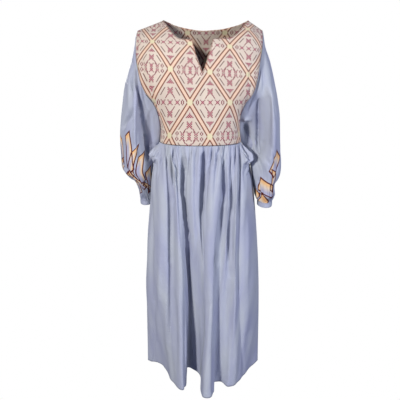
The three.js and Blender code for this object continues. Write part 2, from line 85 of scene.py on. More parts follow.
BODICE_DEPTH = table(
    "z front back",
    (NECK_Z, 98, 84),
    (-80, 104, 94),
    (-130, 112, 99),
    (-180, 118, 99),
    (-230, 119, 95),
    (-300, 116, 90),
    (WAIST_Z, 112, 90),
)
BODY_SQUARENESS, SHOULDER_DROP, EDGE_HOLD = 2.3, 120, 5
BODICE_STEPS, BODICE_ROWS = 4, 84  # steps to each of the top edge's columns, and rows
# The print is straight this far up from the waist, and goes askew over these heights above and below that.
PRINT_LEVEL, PRINT_ABOVE, PRINT_BELOW = 131, 86, 100

SECTION = "z inner innerY fold foldF foldB crown crownF crownB out outY"
RIGHT_SLEEVE = table(
    SECTION,
    (-56, 0, 0, 198, -20, 17, 200, -11, 9, 200.5, -1),
    (-80, 0, 0, 200, -29, 25, 203, -17, 14, 205, -2),
    (-120, 0, 0, 203, -46, 40, 211, -29, 26, 217, -4),
    (-155, 0, 0, 201, -62, 55, 216, -46, 42, 229, -6),
    (-190, 0, 0, 194, -68, 62, 218, -61, 56, 240, -8),
    (-223, 0, 0, 190, -64, 54, 206, -74, 64, 248, -9),
    (-250, 0, 0, 187, -56, 42, 203, -79, 67, 253, -9),
    (-287, 0, 0, 185, -49, 33, 202, -80, 68, 260, -8),
    (-329, 0, 0, 183, -40, 24, 202, -78, 70, 266, -6),
    (WAIST_Z, 0, 0, 180, -27, 12, 204, -74, 72, 270, -4),
    (-390, 143, 0, 179, -27, 13, 206, -73, 73, 271, -3),
    (-410, 154, 2, 178, -24, 24, 214, -71, 75, 272, -2),
    (-444, 162, 8, 180, -34, 46, 222, -67, 78, 274, 2),
    (-474, 167, 15, 176, -26, 58, 219, -60, 84, 272, 8),
    (-496, 171, 22, 176, -16, 68, 212, -48, 90, 256, 18),
    (-520, 175, 32, 176, -4, 78, 204, -30, 97, 236, 32),
    (-560, 181, 52, 181, 18, 94, 199, 4, 106, 226, 54),
)
LEFT_SLEEVE = table(
    SECTION,
    (-56, 0, 0, 196, -20, 17, 199, -11, 9, 200.5, -1),
    (-80, 0, 0, 197, -30, 25, 203, -17, 14, 206, -2),
    (-120, 0, 0, 198, -48, 42, 212, -30, 27, 222, -4),
    (-155, 0, 0, 196, -62, 55, 216, -47, 43, 232, -6),
    (-190, 0, 0, 194, -69, 62, 219, -62, 56, 240, -8),
    (-223, 0, 0, 190, -58, 54, 222, -76, 64, 247, -9),
    (-250, 0, 0, 189, -43, 42, 225, -80, 66, 252, -9),
    (-287, 0, 0, 191, -29, 34, 229, -81, 68, 259, -8),
    (-329, 0, 0, 196, -16, 26, 233, -79, 70, 264, -6),
    (WAIST_Z, 0, 0, 199, -5, 14, 235, -75, 71, 269, -4),
    (-390, 146, 0, 197, -7, 14, 235, -74, 71, 271, -3),
    (-410, 158, 1, 190, -14, 22, 234, -73, 71, 273, -2),
    (-444, 171, 2, 182, -34, 36, 230, -70, 70, 279, 0),
    (-482, 179, 2, 187, -36, 38, 230, -66, 66, 281, 0),
    (-506, 184, 2, 192, -35, 37, 230, -62, 62, 275, 0),
    (-522, 187, 2, 194, -34, 36, 230, -60, 60, 264, 0),
    (-560, 195, 1, 202, -32, 32, 231, -54, 54, 266, 0),
)
RIGHT_CUFF = {"x": -200, "y": 68, "z": -598, "wide": 24, "deep": 42}
LEFT_CUFF = {"x": 231, "y": 0, "z": -586, "wide": 26, "deep": 40}
CUFF_HEIGHT, CUFF_COLUMNS, CUFF_ROWS, CUFF_WALL = 16, 97, 9, 1.8
CUFF_STITCHES = 15.5  # brings the hem's line of stitches to 2.5 mm below the cuff's top edge
SLEEVE_STEPS, LEVEL_PITCH, END_ROWS = 36, 4, 11  # steps between two points, rows' pitch, rows down to the cuff
UNDERARM_FALL = 16  # this far below the waist's level and lower, the sleeve is a closed tube
# Drop and inset of the last two rows. The second one is tucked into the cuff.
SLEEVE_ENDS = ((-1.5, 1.2), (3, 2.6))

FRONT_FOLDS = table(
    "hipX hipY kneeX kneeY hemX hemY",
    (-178, 0, -205, 0, -218, 0),
    (-171, -38, -197, -38, -198, -9),
    (-152, -72, -174, -70, -166, -17),
    (-130, -96, -143, -98, -142, -44),
    (-110, -107, -115, -112, -119, -96),
    (-94, -105, -96, -110, -98, -126),
    (-80, -126, -72, -138, -74, -154),
    (-68, -124, -52, -136, -57, -150),
    (-60, -111, -44, -112, -51, -98),
    (-53, -107, -40, -80, -46, -45),
    (-41, -122, -22, -88, -26, -51),
    (-24, -134, 0, -104, -4, -74),
    (-7, -129, 14, -122, 2, -104),
    (6, -113, 22, -142, 3, -160),
    (20, -131, 34, -154, 12, -188),
    (42, -141, 48, -152, 38, -190),
    (62, -135, 57, -136, 51, -168),
    (77, -117, 68, -117, 55, -118),
    (89, -129, 86, -120, 78, -116),
    (101, -115, 104, -126, 106, -139),
    (114, -124, 122, -134, 132, -130),
    (127, -106, 137, -114, 154, -106),
    (150, -92, 162, -106, 176, -80),
    (174, -54, 196, -70, 208, -36),
    (195, 0, 226, 0, 242, 0),
)
BACK_FOLDS = table(
    "at hip knee hem",
    (0, 0, 0, 0),
    (0.08, -3, -12, -16),
    (0.17, 3, 10, 16),
    (0.25, -5, -15, -26),
    (0.34, 4, 12, 22),
    (0.41, -6, -12, -20),
    (0.49, 5, 14, 26),
    (0.56, -6, -20, -34),
    (0.65, 4, 10, 18),
    (0.72, -5, -12, -22),
    (0.82, 3, 12, 18),
    (0.91, -2, -10, -14),
    (1, 0, 0, 0),
)
BACK_DEPTH = {"hip": 128, "knee": 138, "hem": 148}
HIGH_HIP_Z, HIGH_HIP_SHARE, WAIST_TUCK = -458, 0.64, 2.5
GATHERS = table("z depth", (WAIST_Z, 2.2), (-398, 5), (-440, 5), (-540, 2), (-700, 0), (HEM_Z, 0))
GATHER_FADE = 0.045
GATHERED_TO_Z, GATHERED_ROWS, HUNG_ROWS = -480, 46, 104  # closer rows down to this level
RUFFLED_TO_Z, RUFFLE_DEPTH = -412, 1.8  # fine gathers right under the seam
PUFFS = table("at z out", (0.072, -412, 27), (0.928, -420, 32))
PUFF_RISE, PUFF_FALL, PUFF_WIDTH = 24, 24, 0.045


# ---- Curves ----
def value_at(rows, column, z):
    """The value at z of a smooth curve through table rows that run downwards."""
    zs, values = rows["z"], rows[column]
    last = len(zs) - 1
    i = np.clip(np.searchsorted(-zs, -np.asarray(z, float), side="left") - 1, 0, last - 1)
    before, after = np.maximum(np.arange(last + 1) - 1, 0), np.minimum(np.arange(last + 1) + 1, last)
    slope = (values[after] - values[before]) / (zs[after] - zs[before])
    span = zs[i + 1] - zs[i]
    t = np.clip((z - zs[i]) / span, 0, 1)
    rise = (1 - t) ** 2 * (1 + 2 * t)
    bend = span * t * (1 - t) * ((1 - t) * slope[i] - t * slope[i + 1])
    return rise * values[i] + (1 - rise) * values[i + 1] + bend


def curve_through(points, steps, closed=False):
    """Smooth curves through points (row, point, xyz), with the same number of steps between each two."""
    if closed:
        padded = np.concatenate([points[:, -1:], points, points[:, :2]], axis=1)
    else:
        start = 2 * points[:, :1] - points[:, 1:2]
        end = 2 * points[:, -1:] - points[:, -2:-1]
        padded = np.concatenate([start, points, end], axis=1)
    gap = np.sqrt(np.linalg.norm(np.diff(padded, axis=1), axis=2, keepdims=True))
    p0, p1, p2, p3 = (padded[:, k : padded.shape[1] - 3 + k] for k in range(4))
    d1 = np.where(gap[:, 1:-1] < 1e-4, 1.0, gap[:, 1:-1])
    d0 = np.where(gap[:, :-2] < 1e-4, d1, gap[:, :-2])
    d2 = np.where(gap[:, 2:] < 1e-4, d1, gap[:, 2:])
    t1 = d1 * ((p1 - p0) / d0 - (p2 - p0) / (d0 + d1) + (p2 - p1) / d1)
    t2 = d1 * ((p2 - p1) / d1 - (p3 - p1) / (d1 + d2) + (p3 - p2) / d2)
    t = (np.arange(steps) / steps)[None, None, :, None]
    c2, c3 = 3 * (p2 - p1) - 2 * t1 - t2, 2 * (p1 - p2) + t1 + t2
    spans = [c[:, :, None] for c in (p1, t1, c2, c3)]
    curve = spans[0] + spans[1] * t + spans[2] * t**2 + spans[3] * t**3
    curve = curve.reshape(len(points), -1, 3)
    end = points[:, :1] if closed else points[:, -1:]
    return np.concatenate([curve, end], axis=1)


def oval_point(u, start, end, deep, z):
    """A point of a half oval at share u of its way from x = start to x = end."""
    angle = np.pi * np.asarray(u, float)
    bend = lambda v: np.sign(v) * np.abs(v) ** (2 / BODY_SQUARENESS)
    x = (start + end) / 2 - (end - start) / 2 * bend(np.cos(angle))
    y = deep * bend(np.sin(angle))
    return np.stack(np.broadcast_arrays(x, y, z), axis=-1).astype(float)


def smoothstep(v, low, high):
    t = np.clip((v - low) / (high - low), 0, 1)
    return t * t * (3 - 2 * t)


def lerp(a, b, t):
    return a + (b - a) * t


def along(points, axis):
    """How far each point is from its line's start, along the cloth."""
    step = np.linalg.norm(np.diff(points, axis=axis), axis=-1)
    start = np.zeros_like(np.take(step, [0], axis))
    return np.cumsum(np.concatenate([start, step], axis=axis), axis=axis)


def fine(values, steps):
    """Every value with steps to the next one."""
    at = np.linspace(0, len(values) - 1, (len(values) - 1) * steps + 1)
    return np.interp(at, np.arange(len(values)), values)


# ---- The bodice's panels ----
def shoulder_z(top, x):
    right = np.clip((x - top["x"][1]) / (top["x"][0] - top["x"][1]), 0, 1)
    left = np.clip((x - top["x"][-2]) / (top["x"][-1] - top["x"][-2]), 0, 1)
    return lerp(NECK_Z, SHOULDER_Z, np.where(x < 0, right, left))


def bodice_y(top, edge, x, z, near):
    """The depth of a bodice panel. near is 1 on the armhole seam and dies out away from it."""
    reach = np.where(x < 0, value_at(ARMHOLE, "right", z), value_at(ARMHOLE, "left", z))
    middle = value_at(BODICE_DEPTH, edge, z)
    share = np.minimum(1, np.abs(x) / reach)
    oval = (1 - share**BODY_SQUARENESS) ** (1 / BODY_SQUARENESS)
    below = np.clip((shoulder_z(top, x) - z) / SHOULDER_DROP, 0, 1)
    turned = np.sin(np.pi / 2 * below) ** 0.6
    side = np.abs(value_at(ARMHOLE, edge, z))
    return side * lerp(turned, 1, near) + (middle - side) * oval * turned


def top_edge(top, steps):
    """x and z of the panel's top edge, smooth between its corners, and each point's share of the columns."""
    knots = np.cumsum(top["columns"])
    at = np.linspace(0, knots[-1], int(knots[-1]) * steps + 1)
    corners = np.flatnonzero(top["corner"])
    x, z = np.empty(len(at)), np.empty(len(at))
    for first, last in zip(corners[:-1], corners[1:]):
        line = np.stack([top["x"], top["z"]], axis=-1)[None, first : last + 1]
        curve = curve_through(np.pad(line, ((0, 0), (0, 0), (0, 1))), 12)[0]
        knot = fine(knots[first : last + 1], 12)
        part = (at >= knots[first]) & (at <= knots[last])
        x[part], z[part] = np.interp(at[part], knot, curve[:, 0]), np.interp(at[part], knot, curve[:, 1])
    return x, z, at / knots[-1]


def bodice_panel(top, edge, facing):
    """The panel's points, top row first and left to right as seen from outside, and its cut coordinates."""
    upper_x, upper_z, u = top_edge(top, BODICE_STEPS)
    v = np.linspace(1, 0, BODICE_ROWS)[:, None]
    row_z = lerp(WAIST_Z, SHOULDER_Z, v)
    waist = oval_point(u, -ARMHOLE["right"][-1], ARMHOLE["left"][-1], 0, WAIST_Z)
    near_right, near_left = (1 - u) ** EDGE_HOLD, u**EDGE_HOLD
    off = lambda name: value_at(ARMHOLE, name, row_z) - lerp(ARMHOLE[name][-1], ARMHOLE[name][0], v)
    x = lerp(waist[:, 0], upper_x, v) + near_left * off("left") - near_right * off("right")
    z = lerp(WAIST_Z, upper_z, v)
    y = facing * bodice_y(top, edge, x, z, near_right + near_left)
    points = np.stack([x, y, z], axis=-1)
    cut = bodice_cut(top, edge, x, z)
    if facing > 0:
        return points[:, ::-1], cut[:, ::-1] * (-1, 1)
    return points, cut


def bodice_cut(top, edge, x, z):
    """How far a point is along the cloth from the panel's middle line and from the waist."""
    across, down = np.linspace(-200, 200, 401), np.linspace(WAIST_Z, 0, 375)
    depth = bodice_y(top, edge, across[None], down[:, None], 0)
    length = np.hypot(1, np.diff(depth, axis=1))
    run = np.concatenate([np.zeros((375, 1)), np.cumsum(np.minimum(length, 3), axis=1)], axis=1)
    run -= run[:, 200:201]
    middle = bodice_y(top, edge, np.zeros(375), down, 0)
    rise = np.concatenate([[0], np.cumsum(np.minimum(np.hypot(1, np.diff(middle)), 2.5))])
    i, j = np.clip(z - WAIST_Z, 0, 373.999), np.clip(x + 200, 0, 399.999)
    i0, j0 = i.astype(int), j.astype(int)
    fi, fj = i - i0, j - j0
    low = lerp(run[i0, j0], run[i0, j0 + 1], fj)
    high = lerp(run[i0 + 1, j0], run[i0 + 1, j0 + 1], fj)
    return np.stack([lerp(low, high, fi), np.interp(z, down, rise)], axis=-1)


def print_drawn(cut):
    """The front's cut coordinates with the print drawn a little askew, as the cloth hangs off its grain."""
    u, v = cut[..., 0], cut[..., 1]
    above = np.clip((v - PRINT_LEVEL) / PRINT_ABOVE, 0, None)
    below = np.clip((PRINT_LEVEL - v) / PRINT_BELOW, 0, None)
    skewed_v = v + 8.3 * above**1.85 + 0.08 * u * np.minimum(above, 1.4) + 5 * below
    skewed_u = u * (1 + 0.05 * np.minimum(above, 1) - 0.11 * below * (u < 0))
    return np.stack([skewed_u, skewed_v], axis=-1)


# ---- The sleeves ----
def armhole_at(side, z):
    x = value_at(ARMHOLE, "right" if side < 0 else "left", z)
    return x, value_at(ARMHOLE, "front", z), value_at(ARMHOLE, "back", z)


def sleeve_panel(sections, side, cuff):
    """The sleeve's points from shoulder to cuff, from the bodice's front edge round to its back edge."""
    zs = sections["z"]
    spans = [(a, b, max(2, round((a - b) / LEVEL_PITCH))) for a, b in zip(zs[:-1], zs[1:])]
    levels = np.concatenate([np.linspace(a, b, rows, endpoint=False) for a, b, rows in spans])
    levels = np.append(levels, zs[-1])
    get = lambda name: value_at(sections, name, levels)
    at = lambda x, y: np.stack([side * x, y, levels], axis=-1)
    outline = [
        at(get("fold"), get("foldF")),
        at(get("crown"), get("crownF")),
        at(get("out"), get("outY")),
        at(get("crown"), get("crownB")),
        at(get("fold"), get("foldB")),
    ]
    seam_x, front, back = armhole_at(side, levels)
    hung = levels <= WAIST_Z - UNDERARM_FALL  # below its underarm seam's start
    open_front, open_back = at(seam_x, front), at(seam_x, back)
    tubes = [k for k in range(len(zs)) if zs[k] <= WAIST_Z - UNDERARM_FALL]
    tube = table(SECTION, *[[sections[n][k] for n in SECTION.split()] for k in tubes])
    under = at(value_at(tube, "inner", levels), value_at(tube, "innerY", levels))
    part = smoothstep(levels, WAIST_Z, WAIST_Z - UNDERARM_FALL)[:, None]
    ends = [lerp(open_front, under, part), lerp(open_back, under, part)]
    open_rows = curve_through(np.stack([ends[0], *outline, ends[1]], axis=1), SLEEVE_STEPS)
    closed_rows = curve_through(np.stack([under, *outline], axis=1), SLEEVE_STEPS, closed=True)
    body = np.where(hung[:, None, None], closed_rows, open_rows)
    columns = body.shape[1] - 1
    cap = cap_row(side, columns)
    last, tucked = (cuff_row(cuff, side, columns, drop, inset) for drop, inset in SLEEVE_ENDS)
    end = between(body[-1], last, END_ROWS, after=True)
    points = np.concatenate([between(cap, body[0], 3), body, end, tucked[None]])
    return points if side > 0 else points[:, ::-1]


def between(a, b, steps, after=False):
    """Rows from a to b, without b, or without a when they come after it."""
    t = np.linspace(0, 1, steps + 1)[:, None, None]
    rows = lerp(a, b, t)
    return rows[1:] if after else rows[:-1]


def cap_row(side, columns):
    x, front, back = armhole_at(side, CAP_Z)
    tip = np.array([side * armhole_at(side, SHOULDER_Z)[0], 0, SHOULDER_Z])
    u = np.linspace(0, 2, columns + 1)[:, None]
    start, end = np.array([side * x, front, CAP_Z]), np.array([side * x, back, CAP_Z])
    return np.where(u < 1, lerp(start, tip, u), lerp(tip, end, u - 1))


def cuff_row(cuff, side, columns, drop, inset):
    """The sleeve's end round the cuff's oval, from its inner side by the front."""
    angle = np.linspace(0, 2 * np.pi, columns + 1)
    x = cuff["x"] - side * (cuff["wide"] - inset) * np.cos(angle)
    y = cuff["y"] - (cuff["deep"] - inset) * np.sin(angle)
    return np.stack([x, y, np.full_like(x, cuff["z"] - drop)], axis=-1)


# ---- The skirt ----
def waist_point(u, facing, tuck):
    deep = BODICE_DEPTH["front" if facing < 0 else "back"][-1] - tuck
    return oval_point(u, tuck - ARMHOLE["right"][-1], ARMHOLE["left"][-1] - tuck, facing * deep, WAIST_Z)


def front_tracks():
    """The points that the front's ridges and valleys pass, from the waist to the hem: (level, fold, xyz)."""
    folds = FRONT_FOLDS
    top = waist_point(np.linspace(0, 1, len(folds["hipX"])), -1, WAIST_TUCK)
    levels = [
        np.stack([folds[n + "X"], folds[n + "Y"], np.full(len(top), z)], axis=-1)
        for n, z in (("hip", HIP_Z), ("knee", KNEE_Z), ("hem", HEM_Z))
    ]
    return with_high_hip(top, *levels)


def back_tracks():
    folds = BACK_FOLDS
    across = 1 - folds["at"]
    top = waist_point(across, 1, WAIST_TUCK)
    levels = [
        oval_point(across, FRONT_FOLDS[n + "X"][0], FRONT_FOLDS[n + "X"][-1], BACK_DEPTH[n] + folds[n], z)
        for n, z in (("hip", HIP_Z), ("knee", KNEE_Z), ("hem", HEM_Z))
    ]
    return with_high_hip(top, *levels)


def with_high_hip(top, hip, knee, hem):
    high = lerp(top, hip, HIGH_HIP_SHARE)
    high[:, 2] = HIGH_HIP_Z
    return np.stack([top, high, hip, knee, hem])


def skirt_panel(tracks, steps, puffs, gathers, seed):
    """The panel's points, from the waist to the hem."""
    gathered_levels = np.linspace(WAIST_Z, GATHERED_TO_Z, GATHERED_ROWS)
    levels = np.concatenate([gathered_levels, np.linspace(GATHERED_TO_Z - 6, HEM_Z, HUNG_ROWS)])

    def fold_line(track):
        x, y = (value_at({"z": track[:, 2], "v": track[:, axis]}, "v", levels) for axis in (0, 1))
        return np.stack([x, y, levels], axis=-1)

    points = np.stack([fold_line(tracks[:, k]) for k in range(tracks.shape[1])], axis=1)
    rows = curve_through(points, steps)
    u = np.linspace(0, 1, rows.shape[1])
    inside = smoothstep(np.minimum(u, 1 - u), 0, GATHER_FADE)
    out = gather_wave(u, levels, gathers, seed)
    for at, z, far in zip(puffs["at"], puffs["z"], puffs["out"]):
        down = (levels - z) / np.where(levels > z, PUFF_RISE, PUFF_FALL)
        out = out + far * np.exp(-(down[:, None] ** 2) - ((u - at) / PUFF_WIDTH) ** 2)
    return rows + outwards(rows) * (out * inside)[..., None]


def outwards(rows):
    """The level direction out of the cloth at every point."""
    side = np.gradient(rows, axis=1)
    level = np.stack([side[..., 1], -side[..., 0], np.zeros(side.shape[:2])], axis=-1)
    return level / np.maximum(np.linalg.norm(level, axis=-1, keepdims=True), 1e-9)


def gather_wave(u, levels, count, seed):
    """Small uneven gathers under the waist seam, each with its own width, depth and length."""
    rng = np.random.default_rng(seed)
    a, b, c, d = rng.random(4) * 2 * np.pi
    phase = 2 * np.pi * count * (u + 0.012 * np.sin(14 * u + a) + 0.006 * np.sin(31 * u + b))
    wave = np.cos(phase) - 0.24 * np.cos(2 * phase)
    strength = 0.85 + 0.3 * np.sin(19 * u + c)
    reach = 1 + 0.5 * np.sin(23 * u + d)  # how far down each one goes
    depth = value_at(GATHERS, "depth", WAIST_Z + (levels[:, None] - WAIST_Z) / reach)
    fine_phase = 2 * np.pi * 2.6 * count * (u + 0.008 * np.sin(27 * u + b) + 0.004 * np.sin(61 * u + c))
    ruffle = np.cos(fine_phase) * (0.7 + 0.5 * np.sin(37 * u + d))
    ruffle = ruffle * smoothstep(levels[:, None], RUFFLED_TO_Z, WAIST_Z)
    return depth * strength * wave + RUFFLE_DEPTH * ruffle


# ---- Creases, ripples and seams ----
# The main creases, each along a line: x and z of both ends, how far it stands out (a trough is below 0) and
# its width.
CREASES, BACK_CREASES = {}, {}
CREASES["sleeve_right_cloth"] = [
    (-190, -200, -186, -292, -9, 4),
    (-186, -285, -179, -361, -13, 4.5),
    (-179, -355, -173, -430, -16, 5),
    (-205, -128, -207, -227, -4.5, 3.5),
    (-208, -223, -209, -325, -5.2, 3),
    (-199, -151, -200, -236, 3.8, 3.5),
    (-200, -236, -207, -365, 4.5, 3.5),
    (-213, -273, -251, -324, -6.8, 6),
    (-220, -296, -234, -324, 3, 5),
    (-188, -214, -187, -301, 2.7, 4),
    (-161, -278, -160, -405, -3, 6),
    (-192, -138, -188, -228, -3, 4),
    (-228, -163, -242, -264, -2.7, 5),
    (-219, -190, -223, -268, 2.2, 4),
    (-199, -365, -197, -448, -3, 4),
    (-194, -120, -174, -209, -3.3, 4),
    (-195, -116, -181, -190, -3, 3.5),
    (-271, -453, -240, -466, -6, 4),
    (-240, -466, -204, -505, -6, 4),
    (-236, -488, -222, -548, -3, 3.4),
    (-215, -511, -220, -556, -3, 3.4),
    (-214, -124, -235, -181, -2, 3.5),
    (-179, -195, -169, -264, -3, 4),
    (-175, -301, -168, -390, -2.5, 4),
    (-196, -255, -202, -395, -2.5, 3.5),
    (-258, -461, -235, -510, 2.5, 4),
    (-186, -474, -186, -533, -3, 3),
    (-172, -310, -160, -376, -6, 10),
    (-208, -129, -212, -329, -5, 6),
    (-198, -181, -209, -369, 4, 5),
    (-213, -269, -251, -325, -12, 7),
]
CREASES["sleeve_left_cloth"] = [
    (185, -240, 187, -290, -10, 4.5),
    (187, -290, 192, -335, -14, 5),
    (192, -335, 196, -408, -15, 5),
    (210, -232, 221, -378, -3, 4.5),
    (220, -224, 236, -378, 2.4, 4.5),
    (213, -419, 228, -440, -5.2, 3),
    (198, -264, 207, -365, 2.4, 4),
    (188, -129, 198, -223, -2.7, 4),
    (184, -125, 172, -204, -3, 4),
    (154, -321, 166, -361, -9, 10),
    (141, -297, 150, -312, 3, 4),
    (184, -125, 177, -177, -3.3, 3.5),
    (182, -138, 166, -218, -3, 4),
    (206, -444, 221, -496, -3.6, 4),
    (232, -386, 254, -449, -3, 4),
    (191, -424, 208, -486, -9, 6),
    (193, -496, 208, -548, -3.3, 3.4),
    (222, -518, 232, -556, -3, 3.4),
    (171, -204, 152, -274, -3, 4),
    (173, -388, 187, -430, -12, 6),
    (174, -405, 188, -436, 4, 4),
    (232, -255, 252, -365, -2, 4),
    (222, -125, 231, -214, -2, 4),
    (224, -463, 239, -510, 2.6, 3),
    (260, -431, 257, -473, -3, 3),
    (140, -298, 164, -302, 7, 5),
    (152, -318, 162, -348, -22, 12),
    (161, -345, 171, -386, -18, 11),
    (210, -232, 222, -382, -4, 7),
    (195, -120, 204, -232, -3, 7),
]
CREASES["skirt_front_cloth"] = [
    (-82, -390, -84, -436, -7.5, 2.6),
    (-84, -429, -89, -500, -7.5, 4),
    (-96, -507, -100, -733, -4.5, 6),
    (-100, -733, -109, -1056, -3.8, 7),
    (-49, -400, -54, -457, -7.5, 2.8),
    (-54, -451, -57, -520, -9, 4),
    (-57, -520, -52, -617, -9, 4),
    (-52, -610, -43, -720, -7.5, 3.5),
    (-43, -713, -43, -898, -7.5, 3.5),
    (-70, -477, -57, -630, 4.5, 3),
    (-57, -623, -47, -727, 4.5, 3),
    (-24, -374, -34, -432, -5.2, 2.4),
    (-34, -432, -37, -467, -4.5, 2.4),
    (12, -393, 7, -470, -7.5, 2.6),
    (7, -467, 9, -541, -7.5, 3.2),
    (7, -541, 1, -603, -5.2, 3.2),
    (37, -387, 39, -442, -3.9, 2.6),
    (63, -377, 74, -438, -4.5, 2.4),
    (76, -419, 77, -486, -7.5, 2.8),
    (77, -486, 82, -555, -6.8, 3.2),
    (74, -575, 62, -713, -6, 4.5),
    (60, -706, 56, -836, -6, 4.5),
    (100, -402, 99, -480, -6.8, 2.8),
    (101, -480, 106, -596, -6, 3.6),
    (96, -610, 103, -768, -6, 7),
    (127, -387, 131, -493, -6, 2.6),
    (131, -493, 123, -630, -5.2, 3),
    (125, -630, 135, -919, -3, 4),
    (-117, -396, -140, -493, -4.5, 2.8),
    (-135, -403, -152, -486, -3.9, 2.6),
    (-171, -569, -170, -747, -3.8, 5),
    (-101, -390, -108, -454, -3.6, 2.4),
    (-66, -380, -68, -425, -3.3, 2.2),
    (-8, -380, -9, -425, -3.6, 2.2),
    (24, -377, 23, -416, -3, 2.2),
    (51, -377, 52, -419, -3, 2.2),
    (86, -384, 88, -438, -3.3, 2.2),
    (113, -384, 113, -438, -3.6, 2.2),
    (150, -407, 151, -467, -3.9, 2.8),
    (159, -403, 175, -493, -3.6, 2.8),
    (154, -562, 160, -850, -3, 6),
    (-12, -630, -12, -940, -3, 6),
    (25, -651, 20, -1022, 3, 8),
    (-137, -768, -167, -1159, 3, 8),
    (-43, -878, -44, -1063, -10, 5),
    (-44, -1063, -52, -1290, -10, 5),
    (53, -837, 52, -1022, -5, 5),
    (52, -1015, 54, -1290, -4, 6),
    (-162, -430, -138, -394, -8, 3.2),
    (-168, -416, -142, -386, 6, 3.2),
    (-162, -456, -132, -400, -7, 3),
    (-160, -446, -140, -418, 5, 3),
    (-166, -474, -146, -428, -7, 3.4),
    (143, -386, 174, -416, 7, 3),
    (139, -394, 168, -429, -9, 3.4),
    (158, -436, 174, -426, 6, 3),
    (150, -452, 176, -440, -9, 3.4),
    (162, -462, 178, -452, 5, 3),
    (154, -478, 180, -466, -6, 3.4),
    (137, -398, 147, -450, -6, 3),
    (-109, -387, -115, -415, -2.4, 2),
    (-92, -380, -94, -409, 2, 2),
    (-74, -380, -76, -416, 2.4, 2.2),
    (-34, -380, -39, -419, 2.4, 2.4),
    (1, -377, -1, -416, 2, 2.2),
    (29, -377, 27, -429, 2.4, 2.4),
    (55, -377, 59, -416, 2, 2),
    (81, -380, 80, -406, -2, 2),
    (106, -384, 107, -416, 2, 2),
    (121, -387, 121, -423, 2, 2),
    (-168, -953, -192, -1283, -4, 6),
    (-121, -926, -126, -1159, 3, 7),
    (90, -836, 101, -1263, -4, 7),
    (142, -926, 169, -1262, -4, 7),
    (-86, -919, -88, -1221, -3, 6),
    (1, -933, 12, -1221, 3, 8),
    (-85, -408, -93, -555, -9, 9),
    (-93, -548, -101, -768, -8, 11),
    (-101, -761, -111, -1098, -6, 12),
    (-50, -419, -56, -527, -12, 8),
    (-57, -521, -46, -678, -12, 9),
    (-46, -671, -52, -1290, -12, 10),
    (-68, -435, -48, -720, 5, 6),
    (9, -403, 8, -589, -8, 6),
    (77, -413, 81, -561, -10, 7),
    (76, -562, 59, -768, -12, 10),
    (59, -754, 54, -1263, -9, 12),
    (102, -416, 104, -603, -8, 7),
    (98, -589, 104, -816, -9, 13),
    (103, -809, 115, -1166, -5, 14),
    (129, -394, 135, -885, -7, 6),
    (-168, -555, -180, -960, -5, 9),
    (-127, -457, -145, -933, 4, 12),
    (34, -419, 32, -898, 5, 12),
    (-18, -480, -21, -946, 3, 9),
    (151, -461, 175, -1070, 3, 10),
]
CREASES["bodice_front_cloth"] = [
    (-166, -150, -148, -231, -7, 3.4),
    (-150, -176, -135, -256, -7, 3.4),
    (-162, -226, -125, -270, -5, 3),
    (-137, -271, -129, -328, -2.1, 4),
    (156, -129, 143, -191, -5, 3.2),
    (155, -192, 138, -258, -7, 3.4),
    (142, -249, 129, -291, -6, 3.2),
    (134, -270, 132, -340, -2.6, 4),
    (13, -170, 9, -231, -1.8, 5),
    (94, -189, 110, -273, -1.6, 6),
    (-71, -191, -86, -270, -1.6, 6),
    (-26, -271, -20, -350, -1.3, 6),
    (68, -284, 62, -355, -1.3, 6),
    (-170, -118, -162, -178, -5, 3.2),
    (-150, -237, -131, -291, -5, 3.5),
    (-156, -168, -140, -246, 3.5, 3.2),
    (-138, -227, -120, -273, 3.4, 3.5),
    (149, -213, 136, -267, 3.4, 3.5),
    (-98, -119, -94, -152, 1.5, 5),
    (105, -108, 97, -147, 1.5, 5),
    (20, -163, 17, -203, -1.4, 5),
]
CREASES["skirt_back_cloth"] = [
    (-92, -378, -88, -440, -7.5, 3),
    (-60, -376, -66, -470, -7.5, 3.4),
    (-24, -378, -20, -450, -7.5, 3),
    (14, -376, 10, -500, -9, 3.6),
    (40, -378, 52, -455, -6, 3),
    (74, -378, 84, -500, -7.5, 3.6),
    (104, -380, 118, -450, -6, 3),
    (-112, -382, -128, -460, -6, 3.4),
    (-66, -470, -92, -900, -7.5, 6),
    (10, -500, 6, -860, -6, 6),
    (84, -500, 104, -980, -7.5, 6),
    (-130, -520, -150, -1000, -4.5, 7),
    (46, -560, 60, -1150, 4.5, 8),
]
CREASES["bodice_back_cloth"] = [
    (-150, -190, -110, -270, -4.5, 4),
    (-160, -160, -128, -250, -3.6, 4),
    (152, -180, 112, -265, -4.5, 4),
    (158, -150, 126, -240, -3.6, 4),
    (-60, -300, -40, -368, -2.4, 6),
    (50, -290, 62, -368, -2.4, 6),
    (-30, -60, -10, -170, -1.8, 10),
]
# The same on the sleeves' hidden backs.
BACK_CREASES["sleeve_right_cloth"] = [
    (-166, -230, -172, -330, -9, 5),
    (-172, -330, -180, -430, -9, 5),
    (-214, -150, -222, -320, -4.5, 5),
    (-238, -200, -226, -300, -4.5, 6),
    (-196, -90, -204, -190, -3, 4),
    (-232, -420, -214, -520, -6, 5),
    (-204, -440, -196, -540, -4.5, 4),
]
BACK_CREASES["sleeve_left_cloth"] = [
    (176, -230, 184, -330, -9, 5),
    (184, -330, 192, -440, -9, 5),
    (216, -150, 226, -320, -4.5, 5),
    (244, -210, 232, -300, -4.5, 6),
    (196, -90, 206, -190, -3, 4),
    (246, -420, 236, -520, -6, 5),
    (214, -440, 218, -550, -4.5, 4),
]


def normals(points):
    down, side = np.gradient(points, axis=0), np.gradient(points, axis=1)
    normal = np.cross(down, side)
    return normal / np.maximum(np.linalg.norm(normal, axis=-1, keepdims=True), 1e-9)


